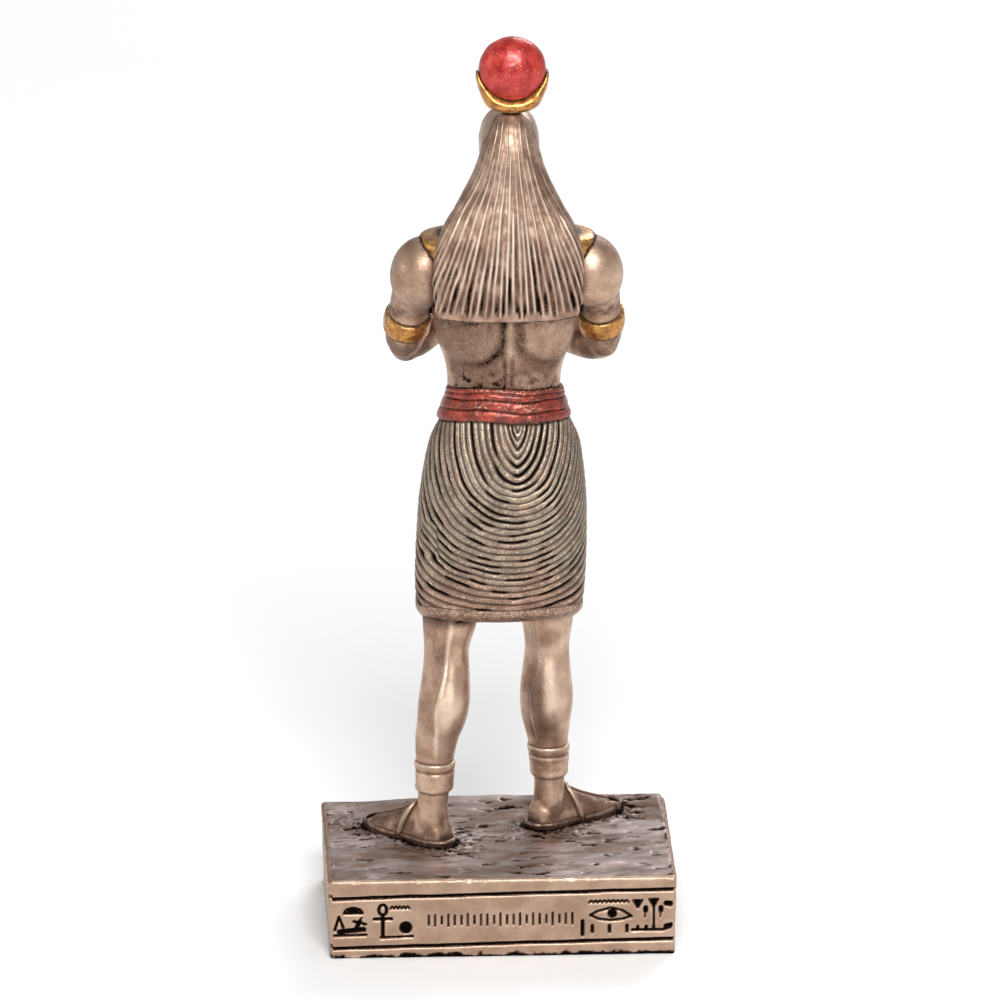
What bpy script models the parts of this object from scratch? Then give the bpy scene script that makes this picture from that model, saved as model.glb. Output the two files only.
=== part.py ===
"""A small cold-cast figurine of an ibis-headed scribe, standing on a low rectangular base.

The figure and its base come out of one mould, so they are one solid. Each form of the body, its dress and the
base is modelled by itself, and a Boolean union joins them. The figure faces -Y, its left side is +X, and the
origin is the middle of the underside.
"""

import math

import bmesh
import bpy
import numpy as np
from mathutils import Vector

MM = 0.001

# The base
BASE_WIDTH = 33.2 * MM
BASE_DEPTH = 23.2 * MM
BASE_HEIGHT = 7.85 * MM
BASE_DRAFT = 0.2 * MM
BASE_CORNER = 0.45 * MM
BASE_EDGE = 0.25 * MM
FRIEZE_LINE_WIDTH = 0.36 * MM
FRIEZE_LINE_DEPTH = 0.28 * MM
FRIEZE_LINE_FROM_TOP = 1.6 * MM
FRIEZE_LINE_FROM_BOTTOM = 1.25 * MM
SOLE_SINK = 0.25 * MM

# The figure, from the ground that it stands on to the crown of its head
FIGURE_HEIGHT = 72.3 * MM
TABLE_HEIGHT = 72.3
UNIT = FIGURE_HEIGHT / TABLE_HEIGHT

# Every table below is in units of the figure's own height, TABLE_HEIGHT of them, measured up from the ground.
# The whole body leans a little towards its right side.
LEAN_AT_GROUND = 0.615
LEAN_PER_UNIT = -0.0278

# Carving
STRAND_COUNT = 22
STRAND_DEPTH = 0.3
STRAND_SPREAD = 1.85
WIG_FRONT_SIDES = 9
PLEAT_PITCH = 0.72
PLEAT_DEPTH = 0.28
PLEAT_COLUMNS = 11
KILT_HALF_ROUND = 22.0
HEM_BAND = 1.25
HEM_FADE = 0.5
BELT_TILT = 0.17
TILT_FADE = 4.6
SAME_POINT = 0.0001 * MM

# Rows are height, half width, front and back.
TORSO = [
    (41.5, 5.5, -4.0, 4.5),
    (44.5, 5.4, -3.7, 4.1),
    (46.3, 5.35, -3.6, 3.8),
    (48.0, 5.6, -3.8, 3.9),
    (50.0, 6.3, -4.3, 4.2),
    (52.0, 6.8, -4.8, 4.5),
    (55.0, 7.3, -5.3, 4.8),
    (57.6, 7.5, -5.2, 4.9),
    (59.6, 6.9, -4.4, 4.5),
    (61.2, 4.8, -3.3, 3.7),
    (63.0, 2.6, -2.7, 2.7),
    (66.0, 2.3, -2.7, 2.2),
]
WIG = [
    (53.5, 6.75, 2.4, 5.55),
    (54.6, 6.85, 2.3, 5.6),
    (57.4, 7.05, 2.0, 5.6),
    (60.6, 6.75, 1.0, 5.2),
    (62.2, 6.1, 0.0, 4.85),
    (63.6, 5.2, -0.6, 4.5),
    (65.2, 4.3, -1.3, 4.1),
    (67.0, 3.4, -1.7, 3.7),
    (68.8, 2.8, -1.8, 3.3),
    (70.4, 2.15, -1.6, 2.8),
    (71.8, 1.5, -1.2, 2.1),
    (72.5, 0.8, -0.6, 1.4),
]
LAPPET = [
    (53.2, 1.35, -6.5, -4.2),
    (54.0, 1.5, -6.8, -4.0),
    (57.0, 1.6, -6.6, -3.6),
    (60.5, 1.7, -5.9, -2.6),
    (63.0, 1.6, -4.9, -1.6),
    (65.5, 1.3, -3.9, -0.6),
]
LAPPET_OFFSETS = [(53.2, 3.6), (57.0, 3.5), (61.0, 3.0), (65.5, 1.9)]
COLLAR = [
    (55.4, 5.6, -5.75, 3.2),
    (57.6, 7.6, -5.85, 4.2),
    (59.3, 8.15, -5.2, 4.5),
    (60.7, 7.2, -4.4, 4.3),
    (62.2, 4.6, -3.6, 3.6),
    (63.6, 2.9, -3.1, 3.0),
]
KILT = [
    (22.4, 7.15, -6.0, 4.0),
    (22.9, 7.7, -6.5, 4.5),
    (24.5, 7.95, -6.7, 4.9),
    (28.0, 8.1, -6.6, 5.4),
    (31.1, 8.05, -6.4, 5.9),
    (34.6, 7.9, -6.1, 6.3),
    (38.0, 7.5, -5.7, 6.3),
    (40.6, 6.95, -5.2, 5.7),
    (42.6, 6.0, -4.6, 4.9),
]
BELT = [
    (42.0, 5.7, -4.2, 4.5),
    (42.3, 6.15, -4.7, 5.0),
    (43.0, 6.15, -4.7, 5.0),
    (43.2, 5.95, -4.5, 4.8),
    (43.4, 6.05, -4.6, 4.9),
    (44.1, 5.85, -4.45, 4.7),
    (44.3, 5.65, -4.25, 4.5),
    (44.5, 5.7, -4.3, 4.55),
    (45.0, 5.6, -4.2, 4.4),
    (45.2, 5.2, -3.8, 4.0),
]
# Rows are height, middle across, middle front to back, half width and half depth.
LEFT_LEG = [
    (-0.1, 6.1, 0.6, 1.3, 1.5),
    (2.0, 6.2, 0.6, 1.55, 1.8),
    (4.2, 6.2, 0.6, 1.45, 1.65),
    (6.5, 6.0, 0.6, 1.6, 1.7),
    (8.7, 5.9, 0.55, 1.75, 1.85),
    (10.5, 5.7, 0.5, 2.0, 2.15),
    (12.2, 5.35, 0.4, 2.33, 2.5),
    (14.0, 5.1, 0.3, 2.45, 2.65),
    (17.0, 4.85, 0.0, 2.2, 2.4),
    (19.1, 4.74, -0.3, 2.06, 2.35),
    (22.0, 4.45, -0.2, 2.55, 2.8),
    (26.0, 4.3, -0.2, 2.7, 3.0),
]
RIGHT_LEG = [
    (-0.1, -5.1, -4.0, 1.3, 1.5),
    (2.0, -5.15, -4.0, 1.55, 1.8),
    (4.2, -5.1, -4.0, 1.45, 1.65),
    (7.5, -5.0, -3.8, 1.7, 1.8),
    (9.2, -4.88, -3.5, 1.9, 2.0),
    (11.0, -4.8, -3.2, 2.31, 2.45),
    (13.2, -4.79, -2.9, 2.54, 2.7),
    (16.2, -4.8, -2.9, 2.3, 2.5),
    (18.2, -4.8, -3.0, 2.07, 2.35),
    (22.0, -4.76, -2.5, 2.45, 2.75),
    (26.0, -4.5, -2.2, 2.6, 2.9),
]
ANKLE_BAND = (5.4, 8.3)
ANKLE_BAND_RISE = 0.28

# A foot's rows are distance from the heel's back, half width and height. Both feet turn out.
FOOT = [
    (0.15, 0.9, 1.4),
    (0.9, 1.4, 2.3),
    (2.4, 1.55, 3.1),
    (4.0, 1.5, 2.9),
    (5.6, 1.65, 2.2),
    (7.4, 1.8, 1.6),
    (9.0, 1.6, 1.25),
    (9.9, 0.9, 1.0),
]
LEFT_HEEL = (4.73, 2.2)
LEFT_TURN = 45.8
RIGHT_HEEL = (-3.2, -2.6)
RIGHT_TURN = -56.0
SANDAL_SOLE = 0.75
SANDAL_MARGIN = 0.3
SANDAL_BUMP = 0.3

# An arm's rows are across, front to back, height and radius. The left arm's across is mirrored for the right.
UPPER_ARM = [
    (6.6, 0.5, 59.3, 1.6),
    (7.7, 0.3, 58.9, 2.5),
    (8.35, 0.1, 57.4, 2.85),
    (8.8, -0.4, 55.2, 2.6),
    (9.0, -1.4, 53.0, 2.0),
    (9.2, -2.3, 50.9, 2.0),
    (9.35, -3.0, 49.2, 1.85),
    (9.2, -3.7, 48.3, 1.3),
]
LEFT_FOREARM = [
    (9.5, -2.6, 48.9, 1.35),
    (8.9, -3.6, 48.9, 1.75),
    (7.1, -5.4, 49.4, 1.75),
    (5.0, -7.4, 50.1, 1.35),
    (3.7, -8.4, 50.6, 1.15),
    (2.7, -9.0, 51.0, 1.35),
    (1.9, -9.4, 51.2, 1.0),
]
RIGHT_FOREARM = [
    (9.5, -2.6, 48.7, 1.35),
    (8.9, -3.6, 48.6, 1.75),
    (7.1, -5.4, 48.5, 1.75),
    (5.0, -7.2, 48.5, 1.35),
    (3.7, -8.2, 48.7, 1.15),
    (2.7, -8.8, 49.1, 1.35),
    (1.9, -9.0, 49.5, 1.0),
]
ARMLET_START = (9.12, -1.9, 51.9)
ARMLET_END = (9.25, -2.55, 50.3)
ARMLET_RADIUS = 2.3
BEAK = [
    (0.0, -3.4, 68.6, 2.0),
    (0.0, -5.0, 68.1, 1.45),
    (0.0, -6.6, 67.2, 1.0),
    (0.0, -8.0, 65.7, 0.82),
    (0.0, -9.0, 63.5, 0.74),
    (0.0, -9.4, 61.0, 0.66),
    (0.0, -9.3, 58.6, 0.56),
    (0.0, -8.9, 56.6, 0.36),
]
HEAD_MIDDLE = (-1.7, 68.6)
HEAD_HALF = (2.65, 3.7, 3.8)

TABLET_SIZE = (6.2, 1.0, 7.4)
TABLET_MIDDLE = (0.6, -9.7, 52.6)
TABLET_TILT = 16.0
PEN_RADIUS = 0.32
PEN_ENDS = ((-2.4, -8.4, 48.0), (-0.6, -9.9, 54.6))
SASH_HALF_WIDTH = 1.5
SASH_FRONTS = [(27.0, -7.4), (31.0, -7.3), (35.0, -6.9), (39.0, -6.3), (43.0, -5.3)]
SASH_THICKNESS = 1.6

DISC_MIDDLE = 76.65
DISC_RADIUS = 3.3
DISC_HALF_THICKNESS = 2.3
DISC_BACK = 0.4
CRESCENT_RADIUS = 3.5
CRESCENT_MIDDLE = 75.8
CRESCENT_TIP = 76.4
CRESCENT_THICKNESS = 2.6

SKIN_BRONZE = (0.46, 0.37, 0.30, 1.0)


def clear_scene():
    for obj in list(bpy.data.objects):
        bpy.data.objects.remove(obj, do_unlink=True)


def new_collection(name):
    collection = bpy.data.collections.new(name)
    bpy.context.scene.collection.children.link(collection)
    return collection


def bronze_material():
    material = bpy.data.materials.new("cast bronze")
    material.use_nodes = True
    shader = material.node_tree.nodes["Principled BSDF"]
    shader.inputs["Base Color"].default_value = SKIN_BRONZE
    shader.inputs["Metallic"].default_value = 0.75
    shader.inputs["Roughness"].default_value = 0.42
    return material


def lean(height):
    """How far the body's middle stands to its left at a height, in table units."""
    return LEAN_AT_GROUND + LEAN_PER_UNIT * height


def placed(x, y, height):
    """A point of the tables, in metres above the base's underside."""
    return Vector((x * UNIT, y * UNIT, BASE_HEIGHT + height * UNIT))


def read(table, at):
    """The table's values at a place, on a smooth curve through its rows."""
    rows = np.array(table, float)
    places, values = rows[:, 0], rows[:, 1:]
    slopes = np.gradient(values, places, axis=0)
    at = min(max(at, places[0]), places[-1])
    low = min(max(int(np.searchsorted(places, at)) - 1, 0), len(places) - 2)
    span = places[low + 1] - places[low]
    t = (at - places[low]) / span
    return (
        (2 * t**3 - 3 * t**2 + 1) * values[low]
        + (t**3 - 2 * t**2 + t) * span * slopes[low]
        + (3 * t**2 - 2 * t**3) * values[low + 1]
        + (t**3 - t**2) * span * slopes[low + 1]
    )


def section_point(row, angle, rise=0.0, square=2.3):
    """A point of a level section. Angle 0 is the middle of the back, and a quarter turn is the left side."""
    half_width, front, back = row
    sine, cosine = math.sin(angle), math.cos(angle)
    reach = 2 / square
    middle, half_depth = (front + back) / 2, (back - front) / 2
    x = (half_width + rise) * math.copysign(abs(sine) ** reach, sine)
    y = middle + (half_depth + rise) * math.copysign(abs(cosine) ** reach, cosine)
    return x, y


def add_object(name, mesh, collection):
    obj = bpy.data.objects.new(name, mesh)
    collection.objects.link(obj)
    return obj


def skin_rings(name, rings, collection):
    """A closed mesh through rings of points, with a flat face at each end."""
    bm = bmesh.new()
    loops = [[bm.verts.new(point) for point in ring] for ring in rings]
    count = len(rings[0])
    for lower, upper in zip(loops, loops[1:]):
        for i in range(count):
            j = (i + 1) % count
            bm.faces.new((lower[i], lower[j], upper[j], upper[i]))
    bm.faces.new(loops[0])
    bm.faces.new(loops[-1])
    bmesh.ops.recalc_face_normals(bm, faces=bm.faces)
    mesh = bpy.data.meshes.new(name)
    bm.to_mesh(mesh)
    bm.free()
    return add_object(name, mesh, collection)


def level_rings(table, heights, sides, leaning=True, tilt=0.0, across=None, square=2.3):
    """Rings of points at heights of a table of sections."""
    rings = []
    for height in heights:
        row = read(table, height)
        shift = lean(height) if leaning else 0.0
        shift += across(height) if across else 0.0
        ring = []
        for i in range(sides):
            x, y = section_point(row, math.tau * i / sides, square=square)
            ring.append(placed(x + shift, y, height + tilt * y))
        rings.append(ring)
    return rings


def tube_rings(path, sides, leaning=True, mirror=1.0):
    """Rings of points square to a path whose rows are x, y, height and radius."""
    points = []
    for x, y, height, radius in path:
        shift = lean(height) if leaning else 0.0
        points.append((Vector((mirror * x + shift, y, height)), radius))
    rings = []
    across = Vector((0.0, 0.0, 1.0))
    for i, (point, radius) in enumerate(points):
        before = points[max(i - 1, 0)][0]
        after = points[min(i + 1, len(points) - 1)][0]
        along = (after - before).normalized()
        across = (across - along * across.dot(along)).normalized()
        other = along.cross(across)
        ring = []
        for k in range(sides):
            turn = math.tau * k / sides
            at = point + radius * (math.cos(turn) * across + math.sin(turn) * other)
            ring.append(placed(*at))
        rings.append(ring)
    return rings


def heights_of(table):
    return [row[0] for row in table]


def make_torso(parts):
    skin_rings("torso", level_rings(TORSO, heights_of(TORSO), 18), parts)


def make_collar(parts):
    skin_rings("collar", level_rings(COLLAR, heights_of(COLLAR), 22), parts)


def make_belt(parts):
    rings = level_rings(BELT, heights_of(BELT), 22, tilt=BELT_TILT)
    skin_rings("belt", rings, parts)


def make_wig(parts):
    """The wig's back, carved in strands that fan out from the crown. Its front, inside the head, is plain."""
    steps = 2 * STRAND_COUNT
    strands = [
        (STRAND_SPREAD * (2 * i / steps - 1), -STRAND_DEPTH * (1 - i % 2)) for i in range(steps + 1)
    ]
    plain = math.tau - 2 * STRAND_SPREAD
    front = [
        (STRAND_SPREAD + plain * i / WIG_FRONT_SIDES, 0.0) for i in range(1, WIG_FRONT_SIDES)
    ]
    rings = []
    for height in heights_of(WIG):
        row = read(WIG, height)
        full = min(1.0, row[0] / 4.0)
        ring = []
        for angle, carved in strands + front:
            x, y = section_point(row, angle, carved * full)
            ring.append(placed(x + lean(height), y, height))
        rings.append(ring)
    skin_rings("wig", rings, parts)


def make_lappets(parts):
    """The wig's two front locks, which lie on the chest."""
    for side, name in ((1, "left lappet"), (-1, "right lappet")):

        def across(height, side=side):
            return side * float(read(LAPPET_OFFSETS, height)[0])

        rings = level_rings(LAPPET, heights_of(LAPPET), 10, across=across, square=3.0)
        skin_rings(name, rings, parts)


def make_head(parts):
    mesh = bpy.data.meshes.new("head")
    bm = bmesh.new()
    bmesh.ops.create_uvsphere(bm, u_segments=14, v_segments=9, radius=1.0)
    y, height = HEAD_MIDDLE
    for vertex in bm.verts:
        x, back, up = (
            c * half for c, half in zip(vertex.co, HEAD_HALF)
        )
        vertex.co = placed(x + lean(height), y + back, height + up)
    bm.to_mesh(mesh)
    bm.free()
    add_object("head", mesh, parts)
    skin_rings("beak", tube_rings(BEAK, 8), parts)


def make_disc(parts):
    """The moon disc, a thick lens that stands in the crescent."""
    mesh = bpy.data.meshes.new("disc")
    bm = bmesh.new()
    bmesh.ops.create_uvsphere(bm, u_segments=20, v_segments=9, radius=1.0)
    for vertex in bm.verts:
        x, up, back = vertex.co
        vertex.co = placed(
            x * DISC_RADIUS + lean(DISC_MIDDLE),
            DISC_BACK + back * DISC_HALF_THICKNESS,
            DISC_MIDDLE + up * DISC_RADIUS,
        )
    bmesh.ops.recalc_face_normals(bm, faces=bm.faces)
    bm.to_mesh(mesh)
    bm.free()
    add_object("disc", mesh, parts)


def make_crescent(parts):
    """The crescent's outline, made thick: an outer arc from tip to tip and a higher one back."""
    steps = 20
    start = math.asin((CRESCENT_TIP - CRESCENT_MIDDLE) / CRESCENT_RADIUS)
    outer = []
    for i in range(steps + 1):
        turn = start - (math.pi + 2 * start) * i / steps
        outer.append(
            (
                CRESCENT_RADIUS * math.cos(turn),
                CRESCENT_MIDDLE + CRESCENT_RADIUS * math.sin(turn),
            )
        )
    inner_depth = DISC_MIDDLE - DISC_RADIUS + 0.4
    inner = []
    for i in range(1, steps):
        share = i / steps
        x = outer[-1][0] + (outer[0][0] - outer[-1][0]) * share
        sag = (CRESCENT_TIP - inner_depth) * math.sqrt(1 - (2 * share - 1) ** 2)
        inner.append((x * 0.94, CRESCENT_TIP - sag))
    rings = []
    for bevel, y in ((0.35, -1.0), (0.0, -0.6), (0.0, 0.6), (0.35, 1.0)):
        shrink = 1 - bevel / CRESCENT_RADIUS
        ring = []
        for x, height in outer + inner:
            up = CRESCENT_MIDDLE + (height - CRESCENT_MIDDLE) * shrink
            depth = DISC_BACK + y * CRESCENT_THICKNESS / 2
            ring.append(placed(x * shrink + lean(DISC_MIDDLE), depth, up))
        rings.append(ring)
    skin_rings("crescent", rings, parts)


def make_arms(parts):
    for side, name, forearm in (
        (1, "left", LEFT_FOREARM),
        (-1, "right", RIGHT_FOREARM),
    ):
        skin_rings(name + " upper arm", tube_rings(UPPER_ARM, 12, mirror=side), parts)
        skin_rings(name + " forearm", tube_rings(forearm, 10, mirror=side), parts)
        start, end = Vector(ARMLET_START), Vector(ARMLET_END)
        band = [
            (*(start + (end - start) * share), ARMLET_RADIUS - inset)
            for share, inset in ((0.0, 0.5), (0.08, 0.06), (0.5, 0.0), (0.92, 0.06), (1.0, 0.5))
        ]
        skin_rings(name + " armlet", tube_rings(band, 14, mirror=side), parts)


def make_legs(parts):
    for name, table in (("left", LEFT_LEG), ("right", RIGHT_LEG)):

        def ring_at(height, table=table, rise=0.0, sides=12):
            x, y, half_width, half_depth = read(table, height)
            return [
                placed(
                    x + (half_width + rise) * math.cos(math.tau * i / sides),
                    y + (half_depth + rise) * math.sin(math.tau * i / sides),
                    height,
                )
                for i in range(sides)
            ]

        skin_rings(name + " leg", [ring_at(h) for h in heights_of(table)], parts)
        low, high = ANKLE_BAND
        span = high - low
        band = [
            ring_at(low + span * share, rise=ANKLE_BAND_RISE - inset, sides=14)
            for share, inset in (
                (0.0, 0.4),
                (0.06, 0.0),
                (0.74, 0.06),
                (0.82, -0.12),
                (0.94, -0.12),
                (1.0, 0.4),
            )
        ]
        skin_rings(name + " ankle band", band, parts)


def make_feet(parts):
    for name, heel, turn in (
        ("left", LEFT_HEEL, LEFT_TURN),
        ("right", RIGHT_HEEL, RIGHT_TURN),
    ):
        angle = math.radians(turn)
        ahead = Vector((math.sin(angle), -math.cos(angle), 0.0))
        side = Vector((ahead.y, -ahead.x, 0.0))
        start = Vector((*heel, 0.0))
        rings = []
        for along, half_width, height in FOOT:
            ring = []
            for i in range(12):
                around = math.tau * i / 12
                point = start + ahead * along + side * (half_width * math.cos(around))
                up = max(0.0, 0.5 + 0.5 * math.sin(around)) ** 0.8
                ring.append(placed(point.x, point.y, SANDAL_SOLE * 0.4 + height * up))
            rings.append(ring)
        skin_rings(name + " foot", rings, parts)
        left, right = [], []
        for along, half_width, _ in FOOT:
            place = start + ahead * along
            left.append(place + side * (half_width + SANDAL_MARGIN))
            right.append(place - side * (half_width + SANDAL_MARGIN))
        tip = start + ahead * (FOOT[-1][0] + SANDAL_MARGIN)
        back = start + ahead * (FOOT[0][0] - SANDAL_MARGIN)
        outline = [back] + left + [tip] + right[::-1]
        middle = sum(outline, Vector()) / len(outline)
        layers = []
        for height, shrink in (
            (-SOLE_SINK / UNIT, 1.0),
            (SANDAL_SOLE * 0.7, 1.0),
            (SANDAL_SOLE, 0.94),
        ):
            ring = [middle + (p - middle) * shrink for p in outline]
            layers.append([placed(p.x, p.y, height) for p in ring])
        skin_rings(name + " sandal", layers, parts)


def pleat_width(depth):
    """Half the width of the pleat that hangs this far below the belt, measured round the kilt."""
    return depth * (0.34 + 0.0145 * depth**1.7)


def kilt_point(side, across, down, carved):
    """A point of the unrolled kilt, so far round from the back's middle and so far below the top."""
    low, high = KILT[0][0], KILT[-1][0]
    height = high - down
    band = min(1.0, max(0.0, (height - low - HEM_BAND) / HEM_FADE))
    angle = side * math.pi * across / KILT_HALF_ROUND
    x, y = section_point(read(KILT, height), angle, -PLEAT_DEPTH * carved * band)
    tilt = BELT_TILT * max(0.0, 1 - down / TILT_FADE)
    return placed(x + lean(height), y, height + tilt * y)


def pleat_row(depth, drop):
    """The places along one pleat, from the middle of the back or the hem round to the front or the belt."""
    width = pleat_width(depth)
    first = 0.0 if depth <= drop else math.acos(drop / depth)
    last = math.pi / 2 if width <= KILT_HALF_ROUND else math.asin(KILT_HALF_ROUND / width)
    row = []
    for j in range(PLEAT_COLUMNS + 1):
        turn = first + (last - first) * j / PLEAT_COLUMNS
        across = min(width * math.sin(turn), KILT_HALF_ROUND)
        down = min(depth * math.cos(turn), drop)
        row.append((across, down))
    return row


def make_kilt(parts):
    """The kilt, carved in pleats that hang from the middle of the back like nested garlands.

    Each half is one patch. A pleat is half an ellipse on the unrolled cloth, below a point at the middle
    of the back. The patch's rows follow the ridges and grooves, from that point to the hem's front corner.
    """
    drop = KILT[-1][0] - KILT[0][0]
    rows = [[(0.0, 0.0)] * (PLEAT_COLUMNS + 1)]
    depth = PLEAT_PITCH / 2
    while pleat_reaches(depth, drop):
        rows.append(pleat_row(depth, drop))
        depth += PLEAT_PITCH / 2
    rows.append([(KILT_HALF_ROUND, drop)] * (PLEAT_COLUMNS + 1))
    bm = bmesh.new()
    made = {}
    for side in (1, -1):
        grid = []
        for k, row in enumerate(rows):
            line = []
            for across, down in row:
                point = kilt_point(side, across, down, (k + 1) % 2)
                key = tuple(round(c / SAME_POINT) for c in point)
                if key not in made:
                    made[key] = bm.verts.new(point)
                line.append(made[key])
            grid.append(line)
        for upper, lower in zip(grid, grid[1:]):
            for j in range(PLEAT_COLUMNS):
                corners = dict.fromkeys([upper[j], upper[j + 1], lower[j + 1], lower[j]])
                if len(corners) > 2:
                    bm.faces.new(corners)
    edges = [edge for edge in bm.edges if edge.is_boundary]
    bmesh.ops.holes_fill(bm, edges=edges, sides=0)
    bmesh.ops.recalc_face_normals(bm, faces=bm.faces)
    mesh = bpy.data.meshes.new("kilt")
    bm.to_mesh(mesh)
    bm.free()
    add_object("kilt", mesh, parts)


def pleat_reaches(depth, drop):
    """Whether any of a pleat this deep still lies on the cloth, before the hem's front corner."""
    if depth <= drop:
        return True
    across = min(1.0, KILT_HALF_ROUND / pleat_width(depth))
    return across**2 + (drop / depth) ** 2 > 1.0


def make_sash(parts):
    """The sash's end, which hangs down the front of the kilt."""
    rings = []
    for height, front in SASH_FRONTS:
        half = SASH_HALF_WIDTH * (1.25 - 0.25 * (height - 27.0) / 16.0)
        ring = []
        for x, y in (
            (-half, front + 0.25),
            (-half + 0.3, front),
            (half - 0.3, front),
            (half, front + 0.25),
            (half, front + SASH_THICKNESS),
            (-half, front + SASH_THICKNESS),
        ):
            ring.append(placed(x + lean(height), y, height))
        rings.append(ring)
    skin_rings("sash", rings, parts)


def make_tablet(parts):
    """The writing tablet in the left hand and the reed pen in the right."""
    mesh = bpy.data.meshes.new("tablet")
    bm = bmesh.new()
    bmesh.ops.create_cube(bm, size=1.0)
    tilt = math.radians(TABLET_TILT)
    x0, y0, z0 = TABLET_MIDDLE
    for vertex in bm.verts:
        x, y, z = (c * size for c, size in zip(vertex.co, TABLET_SIZE))
        vertex.co = placed(
            x0 + x + lean(z0),
            y0 + y * math.cos(tilt) - z * math.sin(tilt),
            z0 + y * math.sin(tilt) + z * math.cos(tilt),
        )
    bm.to_mesh(mesh)
    bm.free()
    add_object("tablet", mesh, parts)
    pen = [(*end, PEN_RADIUS) for end in PEN_ENDS]
    skin_rings("pen", tube_rings(pen, 8), parts)


def base_ring(height, inset):
    """The base's outline at a height: a rectangle with small round corners."""
    draft = BASE_DRAFT * (1 - height / BASE_HEIGHT)
    half_width = BASE_WIDTH / 2 - draft - inset
    half_depth = BASE_DEPTH / 2 - draft - inset
    corner = max(BASE_CORNER - inset, 0.1 * MM)
    ring = []
    for quarter in range(4):
        for step in range(3):
            turn = math.pi / 2 * (quarter + step / 2)
            sign_x = 1 if quarter in (0, 3) else -1
            sign_y = 1 if quarter in (0, 1) else -1
            x = sign_x * (half_width - corner) + corner * math.cos(turn)
            y = sign_y * (half_depth - corner) + corner * math.sin(turn)
            ring.append(Vector((x, y, height)))
    return ring


def make_base(collection):
    """The base, with a carved line above and one below the band of its frieze."""
    upper = BASE_HEIGHT - FRIEZE_LINE_FROM_TOP
    lower = FRIEZE_LINE_FROM_BOTTOM
    half = FRIEZE_LINE_WIDTH / 2
    slope = FRIEZE_LINE_WIDTH / 5
    profile = [(0.0, BASE_EDGE), (BASE_EDGE, 0.0)]
    for line in (lower, upper):
        profile += [
            (line - half, 0.0),
            (line - half + slope, FRIEZE_LINE_DEPTH),
            (line + half - slope, FRIEZE_LINE_DEPTH),
            (line + half, 0.0),
        ]
    profile += [(BASE_HEIGHT - BASE_EDGE, 0.0), (BASE_HEIGHT, BASE_EDGE)]
    rings = [base_ring(height, inset) for height, inset in profile]
    return skin_rings("figurine", rings, collection)


def join_parts(figurine, parts):
    """Joins the body's forms to the base, so that the casting is one solid."""
    for obj in parts.objects:
        obj.hide_render = True
        obj.display_type = "WIRE"
    join = figurine.modifiers.new("Join", "BOOLEAN")
    join.operation = "UNION"
    join.operand_type = "COLLECTION"
    join.collection = parts
    join.solver = "EXACT"
    join.use_self = False


def main():
    clear_scene()
    figure = new_collection("thoth figurine")
    parts = new_collection("forms joined into the casting")
    figurine = make_base(figure)
    figurine.data.materials.append(bronze_material())
    for make in (
        make_legs,
        make_feet,
        make_kilt,
        make_sash,
        make_belt,
        make_torso,
        make_collar,
        make_arms,
        make_tablet,
        make_wig,
        make_lappets,
        make_head,
        make_crescent,
        make_disc,
    ):
        make(parts)
    join_parts(figurine, parts)


main()
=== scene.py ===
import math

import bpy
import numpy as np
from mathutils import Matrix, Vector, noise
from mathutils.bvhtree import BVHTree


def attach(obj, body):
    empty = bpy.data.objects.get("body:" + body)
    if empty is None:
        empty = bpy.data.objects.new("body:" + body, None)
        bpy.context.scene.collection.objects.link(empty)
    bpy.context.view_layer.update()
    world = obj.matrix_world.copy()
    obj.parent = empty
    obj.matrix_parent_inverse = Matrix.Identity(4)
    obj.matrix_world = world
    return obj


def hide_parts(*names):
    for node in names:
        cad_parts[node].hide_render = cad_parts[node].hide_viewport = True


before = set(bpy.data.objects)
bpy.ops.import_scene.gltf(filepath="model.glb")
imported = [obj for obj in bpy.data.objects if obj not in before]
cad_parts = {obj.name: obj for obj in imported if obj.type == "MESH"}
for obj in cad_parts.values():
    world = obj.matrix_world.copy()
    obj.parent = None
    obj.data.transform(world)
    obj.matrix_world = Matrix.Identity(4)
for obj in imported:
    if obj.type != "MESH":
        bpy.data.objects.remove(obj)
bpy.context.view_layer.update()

# The finish of a small cast figurine of an ibis-headed scribe, on a low base with a carved frieze.
# Forms are worked out in millimetres, from the section tables that the solid model uses, and turned to
# metres at the end. The figure faces -Y and its left side is +X. Each form is a fine mesh of its own. The
# carving is moved vertices. What the paint follows, such as the dark wash in the grooves, the painted shade
# in recesses and where pieces meet, and the painted highlights, is kept on the vertices as numbers.


MM = 0.001
NODE = "figurine"

# The base
BASE_WIDTH = 33.2
BASE_DEPTH = 23.2
BASE_HEIGHT = 7.85
BASE_DRAFT = 0.2
BASE_CORNER = 0.5
BASE_ROUND = 0.3
LINE_WIDTH = 0.36
LINE_DEPTH = 0.3
LINE_HEIGHTS = (1.3, 6.33)
LINE_SLOPE = 0.0165
MOTIF_DEPTH = 0.28
SIGN_PITCH = 3.4
SIGN_MARGIN = 3.0
GROUND_INSET = 0.22
BACK_STEP = 0.11
OTHER_STEP = 0.25
RISE_STEP = 0.105

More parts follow.
